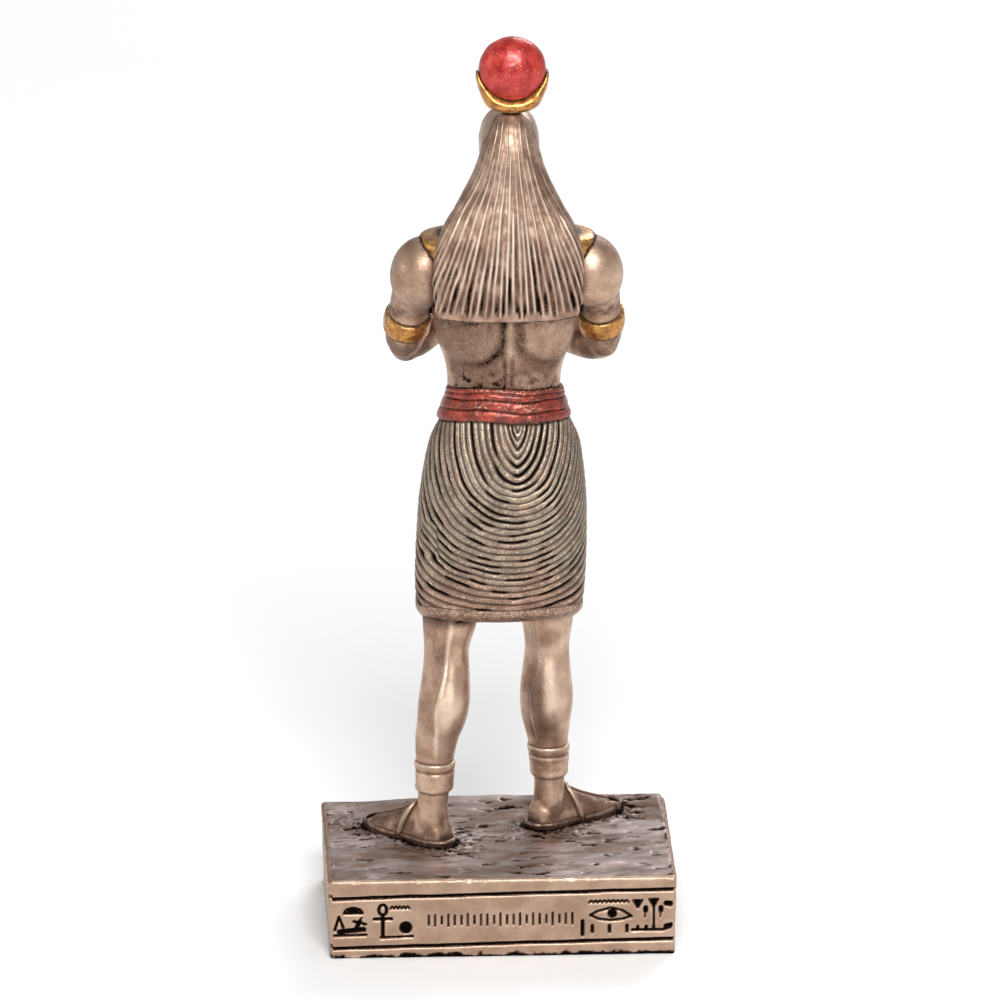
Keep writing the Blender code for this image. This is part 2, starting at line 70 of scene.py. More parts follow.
# The figure's tables are in millimetres above the ground that it stands on
LEAN_AT_GROUND = 0.615
LEAN_PER_MM = -0.0278
TORSO = [
    (41.5, 5.5, -4.0, 4.5),
    (44.5, 5.4, -3.7, 4.1),
    (46.3, 5.35, -3.6, 3.8),
    (48.0, 5.6, -3.8, 3.9),
    (50.0, 6.3, -4.3, 4.2),
    (52.0, 6.8, -4.8, 4.5),
    (55.0, 7.3, -5.3, 4.8),
    (57.6, 7.5, -5.2, 4.9),
    (59.6, 6.9, -4.4, 4.5),
    (61.2, 4.8, -3.3, 3.7),
    (63.0, 2.6, -2.7, 2.7),
    (66.0, 2.3, -2.7, 2.2),
]
WIG = [
    (53.5, 6.75, 2.4, 5.55),
    (54.6, 6.85, 2.3, 5.6),
    (57.4, 7.05, 2.0, 5.6),
    (60.6, 6.75, 1.0, 5.2),
    (62.2, 6.1, 0.0, 4.85),
    (63.6, 5.2, -0.6, 4.5),
    (65.2, 4.3, -1.3, 4.1),
    (67.0, 3.4, -1.7, 3.7),
    (68.8, 2.8, -1.8, 3.3),
    (70.4, 2.15, -1.6, 2.8),
    (71.8, 1.5, -1.2, 2.1),
    (72.5, 0.8, -0.6, 1.4),
]
LAPPET = [
    (53.2, 1.35, -6.5, -4.2),
    (54.0, 1.5, -6.8, -4.0),
    (57.0, 1.6, -6.6, -3.6),
    (60.5, 1.7, -5.9, -2.6),
    (63.0, 1.6, -4.9, -1.6),
    (65.5, 1.3, -3.9, -0.6),
]
LAPPET_OFFSETS = [(53.2, 3.6), (57.0, 3.5), (61.0, 3.0), (65.5, 1.9)]
COLLAR = [
    (55.4, 5.6, -5.75, 3.2),
    (57.6, 7.6, -5.85, 4.2),
    (59.3, 8.35, -5.2, 4.5),
    (59.8, 8.4, -4.6, 4.2),
    (60.2, 8.25, -4.4, 3.8),
    (60.42, 7.9, -4.25, 3.4),
    (60.54, 7.2, -4.1, 3.0),
    (60.64, 6.3, -4.0, 2.7),
    (60.84, 5.2, -3.8, 2.4),
    (61.5, 4.0, -3.5, 2.2),
    (63.6, 2.9, -3.1, 2.0),
]
KILT = [
    (22.4, 7.15, -6.0, 4.0),
    (22.9, 7.7, -6.5, 4.5),
    (24.5, 7.95, -6.7, 4.9),
    (28.0, 8.1, -6.6, 5.4),
    (31.1, 8.05, -6.4, 5.9),
    (34.6, 7.9, -6.1, 6.3),
    (38.0, 7.5, -5.7, 6.3),
    (40.6, 6.95, -5.2, 5.7),
    (42.6, 6.0, -4.6, 4.9),
]
BELT = [
    (42.0, 6.35, -4.75, 4.95),
    (43.0, 6.15, -4.6, 4.85),
    (44.2, 5.7, -4.3, 4.55),
    (45.9, 5.3, -3.9, 4.2),
]
LEFT_LEG = [
    (-0.1, 6.1, 0.6, 1.3, 1.5),
    (2.0, 6.2, 0.6, 1.55, 1.8),
    (4.2, 6.2, 0.6, 1.45, 1.65),
    (6.5, 6.0, 0.6, 1.6, 1.7),
    (8.7, 5.98, 0.55, 1.84, 1.85),
    (10.5, 5.78, 0.5, 2.08, 2.15),
    (12.2, 5.35, 0.4, 2.33, 2.5),
    (14.0, 5.1, 0.3, 2.45, 2.65),
    (17.0, 4.88, 0.0, 2.24, 2.4),
    (19.1, 4.82, -0.3, 2.14, 2.35),
    (22.0, 4.5, -0.2, 2.6, 2.8),
    (26.0, 4.3, -0.2, 2.7, 3.0),
]
RIGHT_LEG = [
    (-0.1, -5.1, -4.0, 1.3, 1.5),
    (2.0, -5.15, -4.0, 1.55, 1.8),
    (4.2, -5.1, -4.0, 1.45, 1.65),
    (7.5, -5.05, -3.8, 1.76, 1.8),
    (9.2, -4.93, -3.5, 1.98, 2.0),
    (11.0, -4.8, -3.2, 2.31, 2.45),
    (13.2, -4.79, -2.9, 2.54, 2.7),
    (16.2, -4.8, -2.9, 2.3, 2.5),
    (18.2, -4.86, -3.0, 2.12, 2.35),
    (22.0, -4.84, -2.5, 2.52, 2.75),
    (26.0, -4.5, -2.2, 2.6, 2.9),
]
ANKLE_BAND = (5.4, 8.3)
FOOT = [
    (0.5, 1.1, 2.2),
    (1.3, 1.5, 3.2),
    (2.6, 1.6, 3.9),
    (4.0, 1.5, 3.3),
    (5.6, 1.65, 2.4),
    (7.4, 1.8, 1.6),
    (8.6, 1.65, 1.15),
    (9.3, 1.2, 0.85),
]
FEET = {"left": (4.73, 2.2, 45.8), "right": (-3.2, -2.6, -56.0)}
SOLE = 0.55
SOLE_MARGIN = 0.3
BEAD = 0.23
UPPER_ARM = [
    (8.0, 0.2, 57.5, 2.3),
    (8.45, -0.3, 55.2, 2.25),
    (8.92, -1.25, 53.3, 1.97),
    (9.2, -2.2, 51.0, 1.9),
    (9.3, -2.9, 49.4, 1.85),
    (9.2, -3.5, 48.4, 1.45),
]
LEFT_FOREARM = [
    (9.5, -2.6, 48.9, 1.35),
    (8.9, -3.6, 48.9, 1.75),
    (7.1, -5.4, 49.4, 1.75),
    (5.0, -7.4, 50.1, 1.3),
    (3.7, -8.4, 50.6, 1.05),
    (2.7, -9.0, 51.0, 1.25),
    (1.9, -9.4, 51.2, 1.0),
]
RIGHT_FOREARM = [
    (9.5, -2.6, 48.7, 1.35),
    (8.9, -3.6, 48.6, 1.75),
    (7.1, -5.4, 48.5, 1.75),
    (5.0, -7.2, 48.5, 1.3),
    (3.7, -8.2, 48.7, 1.05),
    (2.7, -8.8, 49.1, 1.25),
    (1.9, -9.0, 49.5, 1.0),
]
DELTOID_MIDDLE = (8.05, 0.1, 56.75)
DELTOID_HALF = (2.95, 3.0, 3.55)
ARMLET_START = (9.1, -1.75, 52.2)
ARMLET_END = (9.25, -2.55, 50.45)
ARMLET_RADIUS = 2.2
BEAK = [
    (0.0, -3.4, 68.6, 2.0),
    (0.0, -5.0, 68.1, 1.45),
    (0.0, -6.6, 67.2, 1.0),
    (0.0, -8.0, 65.7, 0.82),
    (0.0, -9.0, 63.5, 0.74),
    (0.0, -9.4, 61.0, 0.66),
    (0.0, -9.3, 58.6, 0.56),
    (0.0, -8.9, 56.6, 0.36),
]
HEAD_MIDDLE = (-1.7, 68.5)
HEAD_HALF = (2.85, 3.7, 3.75)
TABLET_SIZE = (6.2, 1.0, 7.4)
TABLET_MIDDLE = (0.6, -9.7, 52.6)
TABLET_TILT = 16.0
PEN_RADIUS = 0.3
PEN_ENDS = ((-2.4, -8.4, 48.0), (-0.6, -9.9, 54.6))
SASH_FRONTS = [(27.0, -7.4), (31.0, -7.3), (35.0, -6.9), (39.0, -6.3), (43.0, -5.3)]
DISC_MIDDLE = 76.65
DISC_RADIUS = 3.2
DISC_BACK = 0.4
DISC_HALF_THICKNESS = 2.4
CRESCENT_REACH = 88
CRESCENT = [(0, 4.05), (12, 4.12), (34, 4.2), (53, 3.78), (70, 3.56), (85, 3.46), (98, 3.38)]

# Carving
PLEAT_PITCH = 0.66
PLEATS = [
    (0.0, 0.02),
    (1.5, 0.55),
    (2.9, 1.35),
    (6.5, 4.6),
    (10.0, 7.9),
    (13.5, 11.2),
    (16.7, 15.5),
    (19.5, 27.0),
    (24.0, 60.0),
]
PLEAT_MIDDLE = -1.0
KILT_SHIFT = -0.2
SIDE_SHARES = (0.29, 0.26)
PEAK_ROUND = 0.8
HEM_BAND = 1.5
HEM_LIFT = 0.75
BELT_TILT = 0.17
TILT_FADE = 4.6
STRANDS = 28
STRAND_SPREAD = 1.9
STRAND_HEIGHT = 0.17
STRAND_FAN = [
    (53.5, 10.2),
    (57.0, 8.6),
    (59.3, 7.5),
    (61.7, 6.3),
    (63.9, 5.1),
    (65.9, 3.9),
    (68.8, 2.7),
    (72.4, 1.7),
]

# How fine the meshes are: a grid's rows and points round, and a fused skin's voxels and rounds of smoothing
GRIDS = {
    "torso": (60, 72),
    "leg": (90, 64),
    "ankle_band": (40, 120),
    "kilt": (185, 400),
    "belt": (66, 300),
    "wig": (140, 420),
    "lappet": (80, 130),
    "collar": (72, 220),
    "armlet": (50, 100),
    "disc": (76, 130),
    "crescent": (150, 50),
    "sash": (100, 50),
    "ground": (165, 236),
}
VOXELS = {
    "torso": (0.16, 4),
    "leg": (0.165, 4),
    "head": (0.165, 3),
    "beak": (0.14, 2),
    "strap": (0.11, 2),
    "pen": (0.09, 1),
}
SOLE_POINTS = 180
SOLE_LENGTH = 10.35
SOLE_OVERHANG = 0.3
SOLE_SETBACK = 0.05

# How each piece's shape is read for its wash and painted shade: over how many rounds a hollow is seen, the
# gain of a groove, the share of painted shade in the deep recesses, and how dark the painted shade is where
# it meets other pieces
FINISH_ROWS = {
    "torso_and_arms": (5, 6.8, 0.9, 1.0),
    "leg": (5, 5.6, 0.9, 0.6),
    "ankle_band": (3, 14.0, 0.9, 0.35),
    "sandal_sole": (3, 12.0, 0.9, 0.8),
    "sandal_strap": (3, 14.0, 0.9, 0.8),
    "kilt": (2, 3.0, 0.55, 0.8),
    "belt": (4, 10.0, 0.5, 0.8),
    "wig": (3, 6.0, 0.5, 0.8),
    "lappet": (3, 10.0, 0.9, 0.8),
    "collar": (3, 12.0, 0.7, 0.8),
    "armlet": (3, 10.0, 0.6, 0.8),
    "ibis_head": (5, 7.5, 0.9, 0.3),
    "beak": (3, 12.0, 0.9, 0.8),
    "disc": (4, 6.0, 0.3, 0.8),
    "crescent": (3, 8.0, 0.4, 0.8),
    "writing_tablet": (3, 10.0, 0.9, 0.8),
    "reed_pen": (3, 10.0, 0.9, 0.8),
    "sash": (3, 10.0, 0.9, 0.8),
    "base_sides": (3, 5.0, 0.0, 0.0),
    "ground": (2, 9.0, 0.0, 0.0),
}
BASE_PIECES = ("base_sides", "ground")

# What a sandal's upper follows along the foot from the heel: its toe cord, its knot and its strap
TOE_CORD = (4.2, 9.0)
KNOT_ALONG = 4.1
STRAP_ALONG = 5.0

# The camera stands as the photograph's did: behind the figure, a little above it, with a long lens
CAMERA_AZIMUTH = 177.76
CAMERA_ELEVATION = 18.15
CAMERA_ROLL = -0.117
CAMERA_DISTANCE = 1336.6
CAMERA_LENS = 507.6
CAMERA_AIM = (0.2916, 41.905)


# Arithmetic on tables, points and meshes


def read(table, at):
    """A table's values at many places, on a smooth curve through its rows."""
    rows = np.array(table, float)
    places, values = rows[:, 0], rows[:, 1:]
    slopes = np.gradient(values, places, axis=0)
    at = np.clip(np.asarray(at, float), places[0], places[-1])
    low = np.clip(np.searchsorted(places, at) - 1, 0, len(places) - 2)
    span = (places[low + 1] - places[low])[..., None]
    t = (at - places[low])[..., None] / span
    return (
        (2 * t**3 - 3 * t**2 + 1) * values[low]
        + (t**3 - 2 * t**2 + t) * span * slopes[low]
        + (3 * t**2 - 2 * t**3) * values[low + 1]
        + (t**3 - t**2) * span * slopes[low + 1]
    )


def lean(height):
    """How far the body's middle stands to its left at a height above the ground."""
    return LEAN_AT_GROUND + LEAN_PER_MM * np.asarray(height, float)


def smooth_step(low, high, value):
    t = np.clip((value - low) / (high - low), 0.0, 1.0)
    return t * t * (3 - 2 * t)


def bell(value, width):
    return np.exp(-((value / width) ** 2))


def squared(value, power):
    """A sine or cosine, fuller for a power under 1, which makes a round section boxier."""
    return np.sign(value) * np.abs(value) ** power


def end_round(share, width):
    """How far a rounded end falls away: 1 at a share of 0 or 1, and 0 further in than the width."""
    inside = np.clip(np.minimum(share, 1 - share) / width, 0, 1)
    return 1 - np.sqrt(1 - (1 - inside) ** 2)


def round_angles(count):
    """Even angles once round."""
    return np.linspace(0, math.tau, count, endpoint=False)


def grid(rows, columns):
    """Two grids, of the values down the rows and across the columns."""
    return np.meshgrid(rows, columns, indexing="ij")


def rough(points, scale, octaves=3, seed=0.0):
    """Smooth random values, about -1 to 1, at points in millimetres. Scale is the grain's size."""
    shift = Vector((seed * 31.7, seed * 17.1, seed * 7.3))
    flat = np.asarray(points, float).reshape(-1, 3)
    values = [noise.fractal(Vector(p) / scale + shift, 0.9, 2.0, octaves) for p in flat]
    return np.array(values).reshape(np.asarray(points).shape[:-1])


def grid_faces(rows, columns, closed):
    """The quads of a grid of points, which may close round its columns."""
    index = np.arange(rows * columns).reshape(rows, columns)
    right = np.roll(index, -1, axis=1) if closed else index[:, 1:]
    left = index if closed else index[:, :-1]
    quads = np.stack([left[:-1], right[:-1], right[1:], left[1:]], axis=-1)
    return quads.reshape(-1, 4)


def tube_shape(rings):
    """A closed shape through rings of points: its points and quads, with a fan of thin quads at each end."""
    rings = np.asarray(rings, float)
    count, sides, _ = rings.shape
    points = rings.reshape(-1, 3)
    faces = grid_faces(count, sides, True).tolist()
    for ring, last in ((0, False), (count - 1, True)):
        middle = len(points)
        points = np.vstack([points, rings[ring].mean(axis=0)])
        for i in range(sides):
            a, b = ring * sides + i, ring * sides + (i + 1) % sides
            faces.append((a, b, middle) if last else (b, a, middle))
    return outward(points, faces)


def outward(points, faces):
    """The same shape with its faces turned outwards."""
    corners = np.array([face[:3] for face in faces])
    a, b, c = (points[corners[:, i]] for i in range(3))
    volume = np.einsum("ij,ij->i", a, np.cross(b, c)).sum()
    quads = np.array([f for f in faces if len(f) == 4])
    if len(quads):
        a, b, c = (points[quads[:, i]] for i in (0, 2, 3))
        volume += np.einsum("ij,ij->i", a, np.cross(b, c)).sum()
    if volume < 0:
        faces = [tuple(reversed(face)) for face in faces]
    return points, faces


def merged(shapes):
    """Several shapes as one list of points and one of faces."""
    points, faces, count = [], [], 0
    for shape_points, shape_faces in shapes:
        points.append(shape_points)
        faces += [tuple(i + count for i in face) for face in shape_faces]
        count += len(shape_points)
    return np.vstack(points), faces


def to_mesh(name, points, faces):
    mesh = bpy.data.meshes.new(name)
    mesh.from_pydata(np.asarray(points).tolist(), [], [tuple(int(i) for i in f) for f in faces])
    mesh.update()
    return mesh


def fused(shapes, voxel, rounds):
    """One skin over several closed shapes, smoothed where they meet."""
    points, faces = merged(shapes)
    obj = bpy.data.objects.new("fusing", to_mesh("fusing", points, faces))
    bpy.context.scene.collection.objects.link(obj)
    remesh = obj.modifiers.new("Remesh", "REMESH")
    remesh.mode = "VOXEL"
    remesh.voxel_size = voxel
    graph = bpy.context.evaluated_depsgraph_get()
    mesh = bpy.data.meshes.new_from_object(obj.evaluated_get(graph))
    bpy.data.objects.remove(obj, do_unlink=True)
    skin = take_skin(mesh)
    skin.relax(rounds)
    return skin


class Skin:
    """The points and faces of a fine mesh, with what sculpting needs: neighbours, normals and hollows."""

    def __init__(self, mesh):
        self.points = np.empty(len(mesh.vertices) * 3)
        mesh.vertices.foreach_get("co", self.points)
        self.points = self.points.reshape(-1, 3)
        self.edges = np.empty(len(mesh.edges) * 2, int)
        mesh.edges.foreach_get("vertices", self.edges)
        self.edges = self.edges.reshape(-1, 2)
        self.faces = [tuple(p.vertices) for p in mesh.polygons]
        self.corners = np.array([f[:3] for f in self.faces])
        self.quads = np.array([f if len(f) == 4 else f + f[-1:] for f in self.faces])
        self.count = np.bincount(self.edges.ravel(), minlength=len(self.points)).astype(float)

    def spread(self, values):
        """Each point's mean of its neighbours' values."""
        values = np.asarray(values, float)
        a, b = self.edges.T
        if values.ndim == 1:
            count = len(self.count)
            total = np.bincount(a, values[b], count) + np.bincount(b, values[a], count)
            return total / self.count
        return np.stack([self.spread(values[:, i]) for i in range(values.shape[1])], axis=1)

    def relax(self, rounds, share=0.6):
        """Smooths the skin without letting it shrink much."""
        for _ in range(rounds):
            for step in (share, -share * 0.94):
                self.points += step * (self.spread(self.points) - self.points)

    def normals(self):
        a, b, c, d = (self.points[self.quads[:, i]] for i in range(4))
        across = np.cross(c - a, d - b)
        total = np.zeros_like(self.points)
        for i in range(3):
            weights = np.repeat(across[:, i], 4)
            total[:, i] = np.bincount(self.quads.ravel(), weights, len(self.points))
        return total / np.maximum(np.linalg.norm(total, axis=1, keepdims=True), 1e-12)

    def push(self, amount):
        self.points += self.normals() * np.asarray(amount)[:, None]

    def roughen(self, amount, scale, seed):
        """Small random bumps."""
        self.push(amount * rough(self.points, scale, 3, seed))

    def hollow(self, rounds):
        """How hollow the skin is: positive in grooves, negative on ridges. More rounds see wider."""
        normals = self.normals()
        wide = self.points
        for _ in range(rounds):
            wide = self.spread(wide)
        return np.einsum("ij,ij->i", wide - self.points, normals)


def take_skin(mesh):
    """A mesh's skin. The mesh itself is dropped."""
    skin = Skin(mesh)
    bpy.data.meshes.remove(mesh)
    return skin


def shape_skin(points, faces):
    return take_skin(to_mesh("shape", points, faces))


def grid_skin(points, carve=None):
    """A skin from rings of points in rows, with its ends closed. It may be carved."""
    skin = shape_skin(*tube_shape(points))
    if carve is not None:
        skin.push(on_skin(carve))
    return skin


def on_skin(values, low=0.0, high=0.0):
    """A grid's values as its skin's, with those of the middles of the lower and the upper end."""
    return np.append(values.ravel(), [low, high])


class Surroundings:
    """How deep in a recess a point of the figurine lies, from a coarse picture of where its solid is."""

    CELL = 0.4
    MARGIN = 4.0

    def __init__(self, node, blur):
        mesh = node.data
        points = [v.co / MM for v in mesh.vertices]
        tree = BVHTree.FromPolygons(points, [tuple(p.vertices) for p in mesh.polygons])
        low, high = np.min(points, axis=0), np.max(points, axis=0)
        self.low = low - self.MARGIN
        self.shape = np.ceil((high + self.MARGIN - self.low) / self.CELL).astype(int)
        solid = np.zeros(self.shape)
        for i in range(self.shape[0]):
            for j in range(self.shape[1]):
                self.fill_column(solid, tree, i, j)
        self.field = self.blurred(solid, blur)

    def fill_column(self, solid, tree, i, j):
        x, y = self.low[:2] + (np.array([i, j]) + 0.503) * self.CELL
        place = Vector((x, y, self.low[2]))
        crossings = []
        while True:
            hit = tree.ray_cast(place, Vector((0, 0, 1)))[0]
            if hit is None:
                break
            crossings.append(hit.z)
            place = Vector((x, y, hit.z + 0.001))
        for enter, leave in zip(crossings[::2], crossings[1::2]):
            first, last = ((np.array([enter, leave]) - self.low[2]) / self.CELL).round().astype(int)
            solid[i, j, first:last] = 1.0

    def blurred(self, solid, blur):
        spectrum = np.fft.rfftn(solid)
        steps = [np.fft.fftfreq(n, self.CELL) for n in self.shape[:2]]
        steps.append(np.fft.rfftfreq(self.shape[2], self.CELL))
        square = sum(f**2 for f in np.meshgrid(*steps, indexing="ij"))
        return np.fft.irfftn(spectrum * np.exp(-2 * (math.pi * blur) ** 2 * square), self.shape)

    def recess(self, points):
        """0 in the open, and up to about 1 deep between forms."""
        place = (np.asarray(points) - self.low) / self.CELL - 0.5
        base = np.clip(np.floor(place).astype(int), 0, self.shape - 2)
        part = np.clip(place - base, 0.0, 1.0)
        value = 0.0
        for corner in np.ndindex(2, 2, 2):
            weight = np.prod(np.where(corner, part, 1 - part), axis=-1)
            cell = base + corner
            value = value + weight * self.field[cell[..., 0], cell[..., 1], cell[..., 2]]
        return np.clip((value - 0.5) / 0.35, 0.0, 1.0)


WIDE = Surroundings(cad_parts[NODE], 1.3)
NARROW = Surroundings(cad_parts[NODE], 0.6)


PIECES = []
TREES = []


def finish_piece(name, skin, material, **values):
    """Keeps a piece's skin, and its numbers for the paint, until all the pieces are made."""
    if name not in BASE_PIECES:
        skin.points = skin.points + (0.0, 0.0, BASE_HEIGHT)
    PIECES.append((name, skin, material, values))


def finish_worn(name, skin, material, wash=(1, 0), wear=(1, 0)):
    """A piece with the wash, painted shade and wear of its own shape, each times a gain and with more of it
    added.
    """
    own_wash, own_wear = worn_and_washed(name, skin)
    own_wash = own_wash * wash[0] + wash[1]
    own_wear = own_wear * wear[0] + wear[1]
    finish_piece(name, skin, material, wash=own_wash, wear=own_wear)


def finish_row(name):
    """A piece's row of the table of wash, painted shade and wear, which the left and the right one share."""
    return FINISH_ROWS[name.removeprefix("left_").removeprefix("right_")]


def meeting_wash(index, reach=0.34):
    """The dark line where a piece comes out of another one: painted shade, with the wash that gathers there.
    """
    name, skin, _, _ = PIECES[index]
    contact = finish_row(name)[3]
    wash = np.zeros(len(skin.points))
    if not contact:
        return wash
    for other, (_, other_skin, _, _) in enumerate(PIECES):
        if other == index:
            continue
        low, high = other_skin.points.min(axis=0) - reach, other_skin.points.max(axis=0) + reach
        for i in np.flatnonzero(np.all((skin.points > low) & (skin.points < high), axis=1)):
            distance = TREES[other].find_nearest(Vector(skin.points[i]), reach)[3]
            if distance is not None:
                wash[i] = max(wash[i], 1 - distance / reach)
    return contact * wash**1.3


def build_pieces():
    """Makes the objects, in metres, with the numbers that the paint follows, and ties them to the frame."""
    for _, skin, _, _ in PIECES:
        TREES.append(BVHTree.FromPolygons(skin.points.tolist(), skin.faces))
    for index, (name, skin, material, values) in enumerate(PIECES):
        # Adds the painted shade, with some wash, where each piece meets the others.
        values["wash"] = np.maximum(values["wash"], meeting_wash(index))
        mesh = to_mesh(name, skin.points * MM, skin.faces)
        for key, numbers in values.items():
            attribute = mesh.attributes.new(key, "FLOAT", "POINT")
            attribute.data.foreach_set("value", np.clip(numbers, 0, 1).astype(np.float32))
        mesh.shade_smooth()
        mesh.materials.append(material)
        obj = bpy.data.objects.new(name, mesh)
        bpy.context.scene.collection.objects.link(obj)
        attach(obj, "root")
        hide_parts(NODE)


def worn_and_washed(name, skin):
    """The dark wash in hollows, painted shade in the deep recesses between forms, and the bright wear on
    ridges, from the skin's own shape.
    """
    fine, groove, wide_share, _ = finish_row(name)
    hollow = skin.hollow(fine)
    broad = skin.hollow(fine * 6)
    where = skin.points if name in BASE_PIECES else skin.points + (0.0, 0.0, BASE_HEIGHT)
    # deep is painted shade: darker in the recesses between forms, from how closed in each point is.
    deep = np.maximum(WIDE.recess(where) * 0.9, NARROW.recess(where) * 0.8)
    wash = np.clip(groove * hollow, 0, 1) + np.clip(groove * 0.25 * broad, 0, 0.6)
    wear = np.clip(-groove * 0.9 * hollow, 0, 1)
    return np.clip(wash + wide_share * deep**1.4, 0, 1), wear


# Materials


class Paint:
    """Builds a node material around one Principled shader."""

    def __init__(self, name, metallic, roughness, **sockets):
        self.material = bpy.data.materials.new(name)
        self.material.use_nodes = True
        self.tree = self.material.node_tree
        self.shader = self.tree.nodes["Principled BSDF"]
        self.shader.inputs["Metallic"].default_value = metallic
        self.shader.inputs["Roughness"].default_value = roughness
        for socket, value in sockets.items():
            self.shader.inputs[socket.replace("_", " ")].default_value = value
        self.place = self.tree.nodes.new("ShaderNodeTexCoord").outputs["Object"]

    def node(self, kind, **settings):
        node = self.tree.nodes.new(kind)
        for key, value in settings.items():
            setattr(node, key, value)
        return node

    def join(self, value, socket):
        if isinstance(value, bpy.types.NodeSocket):
            self.tree.links.new(value, socket)
        else:
            socket.default_value = value

    def number(self, name):
        """A number that the mesh keeps on its vertices."""
        return self.node("ShaderNodeAttribute", attribute_name=name).outputs["Fac"]

    def grain(self, size, detail=4.0, roughness=0.6, stretch=(1.0, 1.0, 1.0)):
        """Noise whose grains are about so many millimetres across."""
        mapping = self.node("ShaderNodeMapping")
        mapping.inputs["Scale"].default_value = stretch
        self.join(self.place, mapping.inputs["Vector"])
        texture = self.node("ShaderNodeTexNoise")
        texture.inputs["Scale"].default_value = 1 / (size * MM)
        texture.inputs["Detail"].default_value = detail
        texture.inputs["Roughness"].default_value = roughness
        self.join(mapping.outputs["Vector"], texture.inputs["Vector"])
        return texture.outputs["Fac"]

    def math(self, operation, a, b=0.0, c=0.0, clamp=False):
        node = self.node("ShaderNodeMath", operation=operation, use_clamp=clamp)
        for value, socket in zip((a, b, c), node.inputs):
            self.join(value, socket)
        return node.outputs[0]

    def ramp(self, value, low, high, to_low=0.0, to_high=1.0):
        node = self.node("ShaderNodeMapRange", interpolation_type="SMOOTHSTEP")
        settings = (value, low, high, to_low, to_high)
        for item, socket in zip(settings, node.inputs[:5]):
            self.join(item, socket)
        return node.outputs[0]

    def mix(self, factor, a, b):
        node = self.node("ShaderNodeMix", data_type="RGBA", clamp_factor=True)
        for value, socket in ((factor, node.inputs[0]), (a, node.inputs[6]), (b, node.inputs[7])):
            self.join(value, socket)
        return node.outputs[2]

    def bump(self, height, strength, depth):
        node = self.node("ShaderNodeBump")
        node.inputs["Strength"].default_value = strength
        node.inputs["Distance"].default_value = depth * MM
        self.join(height, node.inputs["Height"])
        self.join(node.outputs["Normal"], self.shader.inputs["Normal"])

    def washed(self, tone, amount, metallic, brown, black, brown_wash):
        """Lays the wash and painted shade over a tone, first brown and then black, which takes the metal's
        shine away.
        """
        tone = self.mix(self.ramp(amount, *brown), tone, brown_wash)
        if black:
            tone = self.mix(self.ramp(amount, *black), tone, BLACK_WASH_AND_SHADE)
        self.set("Base Color", tone)
        self.set("Metallic", self.ramp(amount, 0.2, 0.7, metallic, 0.0))
        self.set("Specular IOR Level", self.ramp(amount, 0.3, 0.85, 0.5, 0.02))

    def set(self, socket, value):
        self.join(value, self.shader.inputs[socket])

    def times(self, a, b, clamp=False):
        return self.math("MULTIPLY", a, b, clamp=clamp)

    def speckled_wash(self, specks, low, high, least, most):
        """The wash and painted shade on the vertices, broken up by specks."""
        return self.times(self.number("wash"), self.ramp(specks, low, high, least, most), clamp=True)

    def dull_where(self, gloss, amount):
        """Sets the roughness, which grows where the wash and painted shade are thick."""
        self.set("Roughness", self.math("ADD", gloss, self.times(amount, 0.3)))


def colour(red, green, blue):
    """A colour from its 0 to 255 screen values."""
    screen = np.array([red, green, blue]) / 255
    linear = np.where(screen <= 0.04045, screen / 12.92, ((screen + 0.055) / 1.055) ** 2.4)
    return (*linear.tolist(), 1.0)


# The dark colours of the wash, which also paint the shade in recesses and where pieces meet.
BLACK_WASH_AND_SHADE = colour(9, 5, 4)
BROWN_WASH_AND_SHADE = colour(84, 55, 40)


def cast_bronze(name, body, shade, worn_and_sheen, roughness=0.4, patch=2.2):
    """Bronze-powder resin: two shades in soft patches, bright wear and painted highlights where the numbers
    give them, and a dark wash with painted shade in hollows and recesses.
    """
    metallic = 0.8
    paint = Paint(name, metallic, roughness)
    patches = paint.ramp(paint.grain(patch, 3.0), 0.35, 0.7)
    flecks = paint.grain(0.2, 3.0, 0.7)
    tone = paint.mix(patches, shade, body)
    # The wear numbers, which also hold painted highlights on the legs, the wig and the base's top edge,
    # bring in the lighter colour.
    tone = paint.mix(paint.times(paint.number("wear"), 0.75), tone, worn_and_sheen)
    amount = paint.speckled_wash(flecks, 0.3, 0.72, 0.75, 1.25)
    paint.washed(tone, amount, metallic, (0.04, 0.5, 0.0, 0.85), (0.45, 0.82), BROWN_WASH_AND_SHADE)
    gloss = paint.ramp(flecks, 0.25, 0.75, roughness - 0.07, roughness + 0.1)
    paint.dull_where(gloss, amount)
    paint.bump(flecks, 0.35, 0.035)
    return paint.material


def painted(name, body, deep, worn_and_sheen, metallic, roughness, wear_low=0.64, coat=0.3, patch=0.9):
    """Paint over the casting, mottled where it is thin, gone from ridges, lighter at painted highlights, and
    dark with wash and painted shade in hollows.
    """
    paint = Paint(name, metallic, roughness, Coat_Weight=coat, Coat_Roughness=0.15)
    patches = paint.ramp(paint.grain(patch, 5.0, 0.7), 0.36, 0.66)
    specks = paint.grain(0.25, 4.0, 0.7)
    # lightened: specks and the wear numbers, which hold a painted highlight on the belt, show the lighter
    # colour.
    lightened = paint.math("ADD", specks, paint.times(paint.number("wear"), 0.35))
    tone = paint.mix(patches, deep, body)
    tone = paint.mix(paint.ramp(lightened, wear_low, wear_low + 0.14), tone, worn_and_sheen)
    amount = paint.speckled_wash(specks, 0.3, 0.7, 0.7, 1.3)
    paint.washed(tone, amount, metallic, (0.1, 0.8, 0.0, 0.95), None, BLACK_WASH_AND_SHADE)
    paint.set("Roughness", paint.ramp(specks, 0.25, 0.75, roughness - 0.08, roughness + 0.12))
    paint.bump(specks, 0.3, 0.03)
    return paint.material


